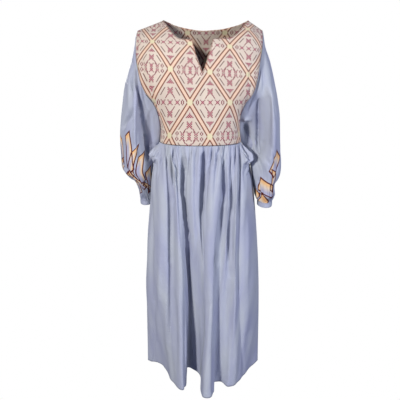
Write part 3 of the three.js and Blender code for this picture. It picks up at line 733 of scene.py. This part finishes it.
def creased(points, rows, edge, facing):
    """The cloth with listed troughs and ridges on the side that faces -Y or +Y."""
    flat, normal = points[..., [0, 2]], normals(points)
    out = np.zeros(points.shape[:2])
    for x0, z0, x1, z1, depth, width in rows:
        line = np.array([x1 - x0, z1 - z0], float)
        offset = flat - (x0, z0)
        t = np.clip((offset @ line) / (line @ line), 0, 1)
        away = np.linalg.norm(offset - t[..., None] * line, axis=-1)
        taper = np.sin(np.pi * (0.12 + 0.76 * t)) ** 0.8
        out += depth * taper * np.exp(-((away / width) ** 2))
    seen = smoothstep(normal[..., 1] * facing, 0, 0.35) * smoothstep(edge, 0, 5)
    return points + normal * (out * seen)[..., None]


RIPPLES = 9  # waves that add up to the cloth's ripples


def rippled(points, cut, depth, width, length, seed, edge):
    """The cloth with soft uneven ripples, longer down it than across, that die out at the panel's edges."""
    rng = np.random.default_rng(seed)
    out = np.zeros(points.shape[:2])
    for _ in range(RIPPLES):
        across, down = rng.normal(0, 1, 2)
        phase = rng.random() * 2 * np.pi
        out += np.sin(cut[..., 0] * across / width * 3 + cut[..., 1] * down / length * 3 + phase)
    fade = smoothstep(edge, 0, 18)
    return points + normals(points) * (out / math.sqrt(RIPPLES) * depth * fade)[..., None]


def edge_distance(points, sides):
    """How far each point is from the nearest of the panel's named edges, along the cloth."""
    rows, columns = along(points, 1), along(points, 0)
    far = np.full(points.shape[:2], 1e3)
    if "first column" in sides:
        far = np.minimum(far, rows)
    if "last column" in sides:
        far = np.minimum(far, rows[:, -1:] - rows)
    if "top" in sides:
        far = np.minimum(far, columns)
    if "bottom" in sides:
        far = np.minimum(far, columns[-1:] - columns)
    return far


def distance_from(points, line):
    """How far each point is from the nearest of a line's points."""
    return np.min(np.linalg.norm(points[:, :, None] - line[None, None], axis=-1), axis=-1)


def gathered(points, count, depth, reach):
    """The cloth with small gathers round its last row, which die out up the cloth."""
    turn = np.linspace(0, 2 * np.pi, points.shape[1])
    up = along(points, 0)
    up = up[-1:] - up
    strength = np.exp(-(((up - 10) / reach) ** 2)) * smoothstep(up, 3, 14)
    uneven = 1 + 0.4 * np.sin(5 * turn + 1) + 0.3 * np.sin(8 * turn + 2)
    wave = np.cos(count * turn + 0.8 * np.sin(3 * turn)) * uneven
    return points + normals(points) * (depth * strength * wave)[..., None]


def sewn(points, edge):
    """The cloth drawn in a little along its seams."""
    return points - normals(points) * (0.9 * np.exp(-((edge / 4) ** 2)))[..., None]


# ---- Meshes ----
def grid_object(name, points, cut, seam, hem, material, thickness=CLOTH):
    """A cloth panel: a grid with its cut coordinates as a UV map, and walls on the inside."""
    rows, columns = points.shape[:2]
    index = np.arange(rows * columns).reshape(rows, columns)
    faces = np.stack([index[:-1, :-1], index[1:, :-1], index[1:, 1:], index[:-1, 1:]], axis=-1).reshape(-1, 4)
    mesh = bpy.data.meshes.new(name)
    mesh.vertices.add(rows * columns)
    mesh.vertices.foreach_set("co", (points.reshape(-1) * MM).astype(np.float32))
    mesh.loops.add(faces.size)
    mesh.loops.foreach_set("vertex_index", faces.reshape(-1).astype(np.int32))
    mesh.polygons.add(len(faces))
    mesh.polygons.foreach_set("loop_start", np.arange(0, faces.size, 4, dtype=np.int32))
    mesh.update(calc_edges=True)
    mesh.validate()
    mesh.polygons.foreach_set("use_smooth", np.ones(len(faces), bool))
    uv = mesh.uv_layers.new(name="cut")
    uv.data.foreach_set("uv", (cut.reshape(-1, 2)[faces.reshape(-1)] * MM).reshape(-1).astype(np.float32))
    for key, far in (("seam", seam), ("hem", hem)):
        edge = mesh.attributes.new(key, "FLOAT", "POINT")
        edge.data.foreach_set("value", (far.reshape(-1) * MM).astype(np.float32))
    piece = bpy.data.objects.new(name, mesh)
    bpy.context.collection.objects.link(piece)
    mesh.materials.append(material)
    wall = piece.modifiers.new("wall", "SOLIDIFY")
    wall.thickness = thickness * MM
    wall.offset = -1
    return piece


def stands_for(piece, node):
    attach(piece, "root")
    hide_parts(node)


# ---- Materials ----
class Graph:
    """A material's nodes, with a short way to write sums."""

    def __init__(self, name):
        self.material = bpy.data.materials.new(name)
        self.material.use_nodes = True
        self.tree = self.material.node_tree
        self.shader = self.tree.nodes["Principled BSDF"]

    def node(self, kind, inputs=None, **settings):
        made = self.tree.nodes.new(kind)
        for key, value in settings.items():
            setattr(made, key, value)
        for key, value in (inputs or {}).items():
            self.put(made.inputs[key], value)
        return made

    def put(self, socket, value):
        if isinstance(value, bpy.types.NodeSocket):
            self.tree.links.new(value, socket)
        else:
            socket.default_value = value

    def math(self, operation, *values):
        made = self.tree.nodes.new("ShaderNodeMath")
        made.operation = operation
        for socket, value in zip(made.inputs, values):
            self.put(socket, value)
        return made.outputs[0]

    def add(self, *values):
        total = values[0]
        for value in values[1:]:
            total = self.math("ADD", total, value)
        return total

    def near(self, value, target, width):
        """1 where value is within width of target, else 0."""
        return self.math("COMPARE", value, target, width)

    def within(self, value, low, high):
        above, below = self.math("GREATER_THAN", value, low), self.math("LESS_THAN", value, high)
        return self.math("MULTIPLY", above, below)

    def noise(self, vector, scale, detail=2.0, rough=0.5):
        inputs = {"Vector": vector, "Scale": scale, "Detail": detail, "Roughness": rough}
        return self.node("ShaderNodeTexNoise", inputs).outputs["Fac"]

    def stretched(self, vector, x, y):
        return self.node("ShaderNodeVectorMath", {0: vector, 1: (x, y, 1)}, operation="MULTIPLY").outputs[0]

    def mix(self, factor, a, b):
        made = self.node("ShaderNodeMix", data_type="RGBA")
        self.put(made.inputs["Factor"], factor)
        self.put(made.inputs[6], a)
        self.put(made.inputs[7], b)
        return made.outputs[2]

    def ramp(self, value, low, high, start=0.0, end=1.0):
        inputs = {"Value": value, "From Min": low, "From Max": high, "To Min": start, "To Max": end}
        return self.node("ShaderNodeMapRange", inputs, clamp=True).outputs[0]

    def cut(self):
        """The cut coordinates, in metres: the vector, across and down."""
        vector = self.node("ShaderNodeUVMap", uv_map="cut").outputs[0]
        parts = self.node("ShaderNodeSeparateXYZ", {0: vector})
        return vector, parts.outputs[0], parts.outputs[1]

    def seam(self):
        """How far the cloth is from its nearest seam, in metres."""
        return self.node("ShaderNodeAttribute", attribute_name="seam").outputs["Fac"]

    def hem(self):
        """How far the cloth is from its turned edge, in metres."""
        return self.node("ShaderNodeAttribute", attribute_name="hem").outputs["Fac"]

    def dashes(self, far, run, at, width, pitch):
        """A line of stitches: 1 on each stitch."""
        wave = self.math("SINE", self.math("MULTIPLY", run, 2 * math.pi / pitch))
        return self.math("MULTIPLY", self.near(far, at, width / 2), self.math("GREATER_THAN", wave, -0.1))

    def bump(self, layers):
        """layers are (height, strength, distance in metres), the coarsest first."""
        normal = None
        for height, strength, distance in layers:
            made = self.node("ShaderNodeBump", {"Height": height, "Strength": strength, "Distance": distance})
            if normal is not None:
                self.put(made.inputs["Normal"], normal)
            normal = made.outputs[0]
        self.put(self.shader.inputs["Normal"], normal)


def colour(r, g, b):
    """A linear colour from sRGB bytes."""
    lin = lambda c: c / 12.92 if c <= 0.04045 else ((c + 0.055) / 1.055) ** 2.4
    return (*[lin(v / 255) for v in (r, g, b)], 1)


def plain_weave(graph, u, v, pitch):
    """The height of a plain weave's threads."""
    across = graph.math("SINE", graph.math("MULTIPLY", u, math.pi / pitch))
    down = graph.math("SINE", graph.math("MULTIPLY", v, math.pi / pitch))
    return graph.math("ABSOLUTE", graph.math("MULTIPLY", across, down))


def hem_stitches(graph, u):
    """The line of stitches 18 mm up from the hem."""
    return graph.dashes(graph.hem(), u, 0.018, 0.0008, 0.0045)


def rolled(graph, far):
    """The cloth's height as it rolls in over the last 1.6 mm to a seam or an edge."""
    return graph.ramp(far, 0.0, 0.0016)


def cotton_finish(graph, colour_out, crumple=1.0):
    """Sheen, soft roughness, crumples and weave for a plain cotton."""
    vector, u, v = graph.cut()
    shader = graph.shader
    shader.inputs["Sheen Weight"].default_value = 0.08
    shader.inputs["Sheen Roughness"].default_value = 0.45
    shader.inputs["Sheen Tint"].default_value = (0.9, 0.93, 1, 1)
    shader.inputs["Specular IOR Level"].default_value = 0.3
    graph.put(shader.inputs["Base Color"], colour_out)
    patch = graph.noise(vector, 30.0, 3.0)
    graph.put(shader.inputs["Roughness"], graph.ramp(patch, 0.3, 0.7, 0.72, 0.86))
    weave = plain_weave(graph, u, v, 0.0007)
    crush = graph.noise(graph.stretched(vector, 34, 13), 1.0, 4.0, 0.55)
    fine_crush = graph.noise(graph.stretched(vector, 120, 60), 1.0, 3.0, 0.6)
    seam_roll_and_shade = rolled(graph, graph.seam())
    turned = graph.ramp(graph.hem(), 0.0195, 0.0205, 1.0, 0.0)  # 20 mm of cloth at the hem
    stitches = hem_stitches(graph, u)
    graph.bump(
        [
            (crush, 0.55 * crumple, 0.006),
            (fine_crush, 0.4 * crumple, 0.0016),
            (seam_roll_and_shade, 0.6, 0.0012),
            (turned, 0.5, 0.0008),
            (stitches, 0.6, 0.0005),
            (weave, 0.35, 0.0002),
        ]
    )


BLUE, BLUE_DEEP, BLUE_PALE = colour(163, 169, 184), colour(155, 160, 185), colour(172, 178, 188)


def cotton_colour(graph):
    """Light blue with slubs and soft patches, painted shade in the seam lines, and a hem's stitches."""
    vector, u, _ = graph.cut()
    patch = graph.noise(graph.stretched(vector, 16, 4), 1.0, 3.0)
    slub = graph.noise(graph.stretched(vector, 1400, 60), 1.0, 2.0, 0.6)
    base = graph.mix(graph.ramp(patch, 0.35, 0.65), BLUE_DEEP, BLUE_PALE)
    threads = graph.mix(graph.ramp(slub, 0.3, 0.75, 0, 0.5), base, BLUE)
    # painted shade: the cloth darkens to a shadow blue along its seams
    seam_roll_and_shade = graph.ramp(graph.seam(), 0.0003, 0.0012, 0.22, 0.0)
    shade = graph.mix(seam_roll_and_shade, threads, colour(118, 122, 168))
    return graph.mix(hem_stitches(graph, u), shade, colour(140, 146, 176))


def cotton_material():
    graph = Graph("blue_cotton")
    cotton_finish(graph, cotton_colour(graph))
    return graph.material


# ---- The sleeves' printed band ----
MAROON, ORANGE = colour(84, 28, 28), colour(222, 176, 122)
CREAM, LAVENDER = colour(214, 196, 172), colour(166, 166, 188)
OUTLINE = 4.2
# Slanting blocks that step down towards the sleeve's inner side. In millimetres from its outer edge and from
# the shoulder: a block's middle, its lean, its size and the rise of its ends.
BLOCKS = "across down lean wide tall rise"
RIGHT_BAND = table(
    BLOCKS,
    (22, 372, 0.35, 26, 84, -0.8),
    (20, 440, -0.35, 26, 74, 0.5),
    (74, 382, 0.14, 28, 131, 0.7),
    (84, 420, -0.26, 26, 112, 1.2),
    (110, 446, -0.3, 28, 118, 0.75),
    (68, 496, 0.2, 28, 92, 0.7),
    (122, 500, -0.5, 30, 120, 0.75),
    (150, 520, -0.2, 30, 110, 0.75),
    (44, 536, -0.35, 26, 74, 0.7),
    (96, 548, 0.35, 26, 70, 0.8),
)
LEFT_BAND = table(
    BLOCKS,
    (62, 420, 0.45, 40, 74, 0.7),
    (60, 482, -0.25, 22, 84, 0.6),
    (66, 574, -0.1, 46, 62, 0.8),
    (116, 562, 0, 40, 84, 0.5),
    (75, 511, -0.15, 74, 54, 0.52),
)


def block_shade(graph, shade, lines, a, v, row):
    """The colour with one block over it, and the outlines so far."""
    x, y = graph.math("SUBTRACT", a, row["across"]), graph.math("SUBTRACT", v, row["down"])
    side = graph.math("SUBTRACT", x, graph.math("MULTIPLY", y, row["lean"]))
    end = graph.math("MULTIPLY_ADD", side, row["rise"], y)
    to_side = graph.math("SUBTRACT", row["wide"] / 2, graph.math("ABSOLUTE", side))
    to_end = graph.math("SUBTRACT", row["tall"] / 2, graph.math("ABSOLUTE", end))
    inside = graph.math("MINIMUM", to_side, graph.math("MULTIPLY", to_end, 0.8))
    block = graph.math("GREATER_THAN", inside, 0.0)
    to_inner = graph.math("SUBTRACT", row["wide"] / 2, side)
    to_top = graph.math("MULTIPLY", graph.math("ADD", end, row["tall"] / 2), 0.4)
    lit = graph.math("MINIMUM", to_inner, to_top)
    fill = graph.mix(graph.ramp(lit, 4.0, 9.0), ORANGE, CREAM)
    fill = graph.mix(graph.ramp(lit, 8.0, 16.0), fill, LAVENDER)
    line = graph.math("MULTIPLY", block, graph.math("LESS_THAN", inside, OUTLINE))
    return graph.mix(block, shade, fill), graph.math("MAXIMUM", lines, line)


def band_material(name, blocks):
    """Blue cotton with a printed band of blocks."""
    graph = Graph(name)
    _, u, v = graph.cut()
    a, down = graph.math("MULTIPLY", graph.math("ABSOLUTE", u), 1000.0), graph.math("MULTIPLY", v, 1000.0)
    shade, lines = cotton_colour(graph), 0.0
    for k in range(len(blocks["down"])):
        row = {key: float(values[k]) for key, values in blocks.items()}
        shade, lines = block_shade(graph, shade, lines, a, down, row)
    cotton_finish(graph, graph.mix(lines, shade, MAROON))
    return graph.material


# ---- The bodice's woven lattice ----
GROUND, BURGUNDY, ROSE, UMBER, RUST, BAND, BLOB, EDGING = (
    colour(196, 181, 167),
    colour(112, 22, 48),
    colour(190, 132, 136),
    colour(104, 74, 68),
    colour(112, 50, 22),
    colour(214, 184, 160),
    colour(208, 199, 162),
    colour(128, 84, 66),
)
HALF_WIDE, HALF_TALL = 0.0603, 0.0965  # half a diamond of the lattice
CELLS_WIDE, CELLS_TALL = 19.0, 30.0  # cross stitches in half a diamond
# One quarter of each kind of diamond: a row for each row of stitches up from its middle, a letter for each
# stitch out from its middle line. # is a burgundy stitch and o a rose one. Both have the same upper motifs.
UPPER_ROWS = {
    7: "..#",
    8: ".#o",
    9: "#o#",
    10: "o#",
    11: "#o#",
    12: ".#o",
    13: "..#",
    17: "o#o#",
    18: "#o#",
    19: "o#",
    20: "#",
    21: "o",
}
SMALL_ROWS = {
    0: "#o....o#o..#.#",
    1: "o#....#o#..#.#",
    2: "..#..#...#..#",
    **UPPER_ROWS,
}
TALL_ROWS = {
    0: "#.....#",
    1: "o#...#.#...#",
    2: "#o...o#o..#.#",
    3: "o#...#.#..#.#",
    4: "..#.#...#..#",
    **UPPER_ROWS,
}


def stitch_mask(graph, rows, letter, a_cell, b_cell):
    """1 where the chart has the letter in cell (a, b), else 0."""
    bits = 0.0
    for row, stitches in rows.items():
        number = float(sum(1 << k for k, mark in enumerate(stitches) if mark == letter))
        if number:
            bits = graph.math("MULTIPLY_ADD", graph.near(b_cell, float(row), 0.5), number, bits)
    shifted = graph.math("FLOOR", graph.math("DIVIDE", bits, graph.math("POWER", 2.0, a_cell)))
    return graph.math("GREATER_THAN", graph.math("MODULO", shifted, 2.0), 0.5)


def lattice_material(name, shift_u, shift_v):
    """Patterned cotton: a lattice of diamonds with a cross-stitched motif in each."""
    graph = Graph(name)
    vector, u, v = graph.cut()
    a = graph.math("DIVIDE", graph.add(u, shift_u), HALF_WIDE / CELLS_WIDE)
    b = graph.math("DIVIDE", graph.add(v, shift_v), HALF_TALL / CELLS_TALL)
    fold = lambda value, half: graph.math("PINGPONG", value, half)
    a1, b1 = fold(a, CELLS_WIDE), fold(b, CELLS_TALL)
    share = graph.add(graph.math("DIVIDE", a1, CELLS_WIDE), graph.math("DIVIDE", b1, CELLS_TALL))
    tall = graph.math("GREATER_THAN", share, 1.0)
    flip = lambda value, whole: graph.math("SUBTRACT", graph.math("MULTIPLY", tall, whole), value)
    turn = lambda value, whole: graph.math("ABSOLUTE", flip(value, whole))
    a2, b2 = turn(a1, CELLS_WIDE), turn(b1, CELLS_TALL)
    k = graph.add(graph.math("DIVIDE", a2, CELLS_WIDE), graph.math("DIVIDE", b2, CELLS_TALL))
    a_cell, b_cell = graph.math("ROUND", a2), graph.math("ROUND", b2)

    def charted(letter):
        small = stitch_mask(graph, SMALL_ROWS, letter, a_cell, b_cell)
        large = stitch_mask(graph, TALL_ROWS, letter, a_cell, b_cell)
        return graph.add(
            graph.math("MULTIPLY", small, graph.math("SUBTRACT", 1.0, tall)),
            graph.math("MULTIPLY", large, tall),
        )

    inner_k = graph.math("MULTIPLY_ADD", tall, 0.036, 0.354)
    dash_k = graph.math("MULTIPLY_ADD", tall, 0.015, 0.698)
    linked = graph.math("MULTIPLY", graph.near(k, inner_k, 0.026), graph.within(b2, 3.4, 7.0))
    dashed = graph.math("MULTIPLY", graph.near(k, dash_k, 0.028), graph.within(b2, 6.0, 13.0))
    burgundy = graph.math("MAXIMUM", charted("#"), linked)
    rust = graph.near(k, 0.886, 0.036)
    band = graph.math("GREATER_THAN", k, 0.905)

    def blob_at(from_a, from_b):
        """1 inside the small oval where bands cross, at these distances from its middle."""
        shares = (graph.math("DIVIDE", far, radius) for far, radius in ((from_a, 2.6), (from_b, 2.8)))
        return graph.math("LESS_THAN", graph.add(*(graph.math("POWER", share, 2.0) for share in shares)), 1.0)

    side_blob = blob_at(graph.math("SUBTRACT", CELLS_WIDE, a2), b2)
    blob = graph.math("MAXIMUM", side_blob, blob_at(a2, graph.math("SUBTRACT", CELLS_TALL, b2)))
    patch = graph.noise(vector, 9.0, 3.0)
    ground = graph.mix(graph.ramp(patch, 0.35, 0.65), GROUND, colour(205, 192, 177))
    shade = graph.mix(charted("o"), ground, ROSE)
    shade = graph.mix(burgundy, shade, BURGUNDY)
    shade = graph.mix(dashed, shade, UMBER)
    shade = graph.mix(band, shade, BAND)
    shade = graph.mix(rust, shade, RUST)
    shade = graph.mix(blob, shade, BLOB)
    threads = graph.noise(graph.stretched(vector, 900, 700), 1.0, 1.0)
    shade = graph.mix(graph.ramp(threads, 0.35, 0.75, 0, 0.14), shade, colour(250, 244, 236))
    # painted shade: the cloth darkens along its seams
    seam_roll_and_shade = graph.ramp(graph.seam(), 0.0003, 0.0012, 0.2, 0.0)
    shade = graph.mix(seam_roll_and_shade, shade, colour(150, 120, 112))
    edging = graph.dashes(graph.hem(), graph.math("MULTIPLY_ADD", v, 1.7, u), 0.0028, 0.0034, 0.0095)
    shade = graph.mix(edging, shade, EDGING)
    raised = graph.math("MAXIMUM", graph.math("MAXIMUM", burgundy, dashed), graph.math("MAXIMUM", rust, blob))
    woven_finish(graph, shade, graph.math("MAXIMUM", raised, edging))
    return graph.material


def woven_finish(graph, colour_out, raised):
    """Sheen, soft roughness, crumples, raised stitches and weave for the patterned cotton."""
    vector, u, v = graph.cut()
    shader = graph.shader
    shader.inputs["Sheen Weight"].default_value = 0.06
    shader.inputs["Sheen Roughness"].default_value = 0.5
    shader.inputs["Specular IOR Level"].default_value = 0.25
    graph.put(shader.inputs["Base Color"], colour_out)
    graph.put(shader.inputs["Roughness"], graph.ramp(graph.noise(vector, 40.0), 0.3, 0.7, 0.78, 0.9))
    crush = graph.noise(graph.stretched(vector, 26, 16), 1.0, 3.0, 0.5)
    seam_roll_and_shade = rolled(graph, graph.seam())
    weave = plain_weave(graph, u, v, 0.0008)
    turned = graph.ramp(graph.hem(), 0.009, 0.0095, 1.0, 0.0)  # 9 mm of cloth at the neck
    edge = rolled(graph, graph.hem())
    graph.bump(
        [
            (crush, 0.35, 0.004),
            (seam_roll_and_shade, 0.6, 0.0012),
            (turned, 0.4, 0.0006),
            (edge, 0.5, 0.0008),
            (raised, 0.3, 0.0003),
            (weave, 0.4, 0.0002),
        ]
    )


# ---- The dress ----
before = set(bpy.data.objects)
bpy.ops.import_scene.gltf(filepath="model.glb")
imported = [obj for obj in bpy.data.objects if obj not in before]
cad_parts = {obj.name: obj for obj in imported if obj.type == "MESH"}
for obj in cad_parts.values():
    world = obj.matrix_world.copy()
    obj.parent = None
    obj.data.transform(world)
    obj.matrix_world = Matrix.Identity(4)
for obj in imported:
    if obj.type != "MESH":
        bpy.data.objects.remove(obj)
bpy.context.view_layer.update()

cotton = cotton_material()
front_cloth = lattice_material("lattice_front", -0.0303, -0.1311)
back_cloth = lattice_material("lattice_back", 0.02, 0.03)
band_right = band_material("band_right", RIGHT_BAND)
band_left = band_material("band_left", LEFT_BAND)

NO_HEM = 1000  # puts the turned edge out of reach
BODICE_SEAMS = ("first column", "last column", "bottom")
for name, top, edge, facing, cloth, flat, area in (
    ("bodice_front_cloth", FRONT_TOP, "front", -1, front_cloth, (0.43, 0.415), 0.13),
    ("bodice_back_cloth", BACK_TOP, "back", 1, back_cloth, (0.425, 0.41), 0.14),
):
    points, cut = bodice_panel(top, edge, facing)
    knots = (np.cumsum(top["columns"]) * BODICE_STEPS).astype(int)
    first, last = (knots[1], knots[-2]) if facing < 0 else (knots[-1] - knots[-2], knots[-1] - knots[1])
    neck = slice(first, last + 1)
    shoulders = np.delete(points[0], np.r_[neck], axis=0)
    edge_far = np.minimum(edge_distance(points, BODICE_SEAMS), distance_from(points, shoulders))
    neck_far = distance_from(points, points[0, neck])
    points = creased(points, CREASES[name], edge_far, facing)
    points = rippled(points, cut, depth=1.2, width=70, length=110, seed=3 + facing, edge=edge_far)
    points = sewn(points, edge_far)
    cut = print_drawn(cut) if facing < 0 else cut
    panel = grid_object(name, points, cut, edge_far, neck_far, cloth)
    stands_for(panel, name.replace("_cloth", ""))

for name, sections, side, cuff, cloth in (
    ("sleeve_right_cloth", RIGHT_SLEEVE, -1, RIGHT_CUFF, band_right),
    ("sleeve_left_cloth", LEFT_SLEEVE, 1, LEFT_CUFF, band_left),
):
    points = sleeve_panel(sections, side, cuff)
    run = along(points, 1)
    middle = run[:, run.shape[1] // 2 : run.shape[1] // 2 + 1]
    down = along(points[:, points.shape[1] // 2], 0)[:, None] + np.zeros(points.shape[:2])
    cut = np.stack([run - middle, down], axis=-1)
    edge_far = edge_distance(points, ("first column", "last column", "top", "bottom"))
    points = creased(points, CREASES[name], edge_far, -1)
    points = creased(points, BACK_CREASES[name], edge_far, 1)
    points = rippled(points, cut, depth=1.6, width=40, length=150, seed=11 + side, edge=edge_far)
    points = gathered(points, count=26, depth=2.4, reach=46)
    points = sewn(points, edge_far)
    panel = grid_object(name, points, cut, edge_far, NO_HEM + edge_far, cloth)
    stands_for(panel, name.replace("_cloth", ""))

NO_PUFFS = table("at z out", (0, 0, 0))
for name, tracks, steps, puffs, gathers, seed, facing, top_wide, wide, area in (
    ("skirt_front_cloth", front_tracks(), 12, PUFFS, 18, 5, -1, 0.55, 0.88, 0.66),
    ("skirt_back_cloth", back_tracks(), 17, NO_PUFFS, 15, 8, 1, 0.50, 0.73, 0.57),
):
    points = skirt_panel(tracks, steps, puffs, gathers, seed)
    share = np.linspace(-0.5, 0.5, points.shape[1])
    down = along(points, 0)
    cut = np.stack([share * lerp(top_wide, wide, down / down.max()) * 1000, down], axis=-1)
    edge_far = edge_distance(points, ("first column", "last column", "top"))
    points = creased(points, CREASES[name], edge_far, facing)
    points = rippled(points, cut, depth=1.3, width=34, length=260, seed=seed, edge=edge_far)
    points = sewn(points, edge_far)
    panel = grid_object(name, points, cut, edge_far, edge_distance(points, ("bottom",)), cotton)
    stands_for(panel, name.replace("_cloth", ""))

for name, cuff in (("cuff_right_band", RIGHT_CUFF), ("cuff_left_band", LEFT_CUFF)):
    angle = np.linspace(0, 2 * np.pi, CUFF_COLUMNS)
    drop = np.linspace(-0.8, CUFF_HEIGHT + 0.3, CUFF_ROWS)
    bulge = 0.6 * np.sin(np.pi * np.linspace(0, 1, CUFF_ROWS))
    ring = [
        np.stack(
            [
                cuff["x"] + (cuff["wide"] - 0.3 + out) * np.cos(angle),
                cuff["y"] + (cuff["deep"] - 0.3 + out) * np.sin(angle),
                np.full(CUFF_COLUMNS, cuff["z"] - fall),
            ],
            axis=-1,
        )
        for fall, out in zip(drop, bulge)
    ]
    points = np.stack(ring)
    cut = np.stack([along(points, 1), along(points, 0)], axis=-1)
    edge_far = edge_distance(points, ("top",))
    band = grid_object(name, points, cut, edge_far, edge_far + CUFF_STITCHES, cotton, thickness=CUFF_WALL)
    stands_for(band, name.replace("_band", ""))

# ---- Light and camera ----
world = bpy.data.worlds.new("studio")
bpy.context.scene.world = world
world.use_nodes = True
nodes, links = world.node_tree.nodes, world.node_tree.links
soft, white = nodes["Background"], nodes.new("ShaderNodeBackground")
soft.inputs["Color"].default_value = (0.54, 0.58, 1, 1)
soft.inputs["Strength"].default_value = 0.17
white.inputs["Color"].default_value = (1, 1, 1, 1)
seen, mixed = nodes.new("ShaderNodeLightPath"), nodes.new("ShaderNodeMixShader")
links.new(seen.outputs["Is Camera Ray"], mixed.inputs["Fac"])
links.new(soft.outputs[0], mixed.inputs[1])
links.new(white.outputs[0], mixed.inputs[2])
links.new(mixed.outputs[0], nodes["World Output"].inputs["Surface"])


def area_light(name, place, aim, size, power, tint):
    data = bpy.data.lights.new(name, "AREA")
    data.energy = power
    data.size = size
    data.color = tint
    lamp = bpy.data.objects.new(name, data)
    bpy.context.collection.objects.link(lamp)
    lamp.location = place
    lamp.rotation_euler = (Vector(aim) - Vector(place)).to_track_quat("-Z", "Y").to_euler()


area_light("key", (-1.5, -2.5, 0.5), (0, 0, -0.65), 0.3, 92, (1, 0.97, 0.92))
area_light("fill", (2.3, -1.7, 0.4), (0, 0, -0.4), 0.6, 52, (0.88, 0.9, 1))
area_light("back", (-1.2, 2.6, 0.3), (0, 0, -0.6), 0.6, 70, (1, 0.98, 0.95))
area_light("low_fill", (0.7, -2.2, -1.3), (0, 0, -1), 0.6, 6, (0.9, 0.9, 1))

CAMERA_PITCH = 18  # degrees down
camera_data = bpy.data.cameras.new("camera")
camera_data.sensor_width = 36
camera_data.lens = 32.4
camera = bpy.data.objects.new("camera", camera_data)
bpy.context.collection.objects.link(camera)
camera.location = (0, -1.225, -0.188)
camera.rotation_euler = (math.radians(90 - CAMERA_PITCH), 0, 0)
bpy.context.scene.camera = camera
bpy.context.scene.view_settings.view_transform = "Standard"
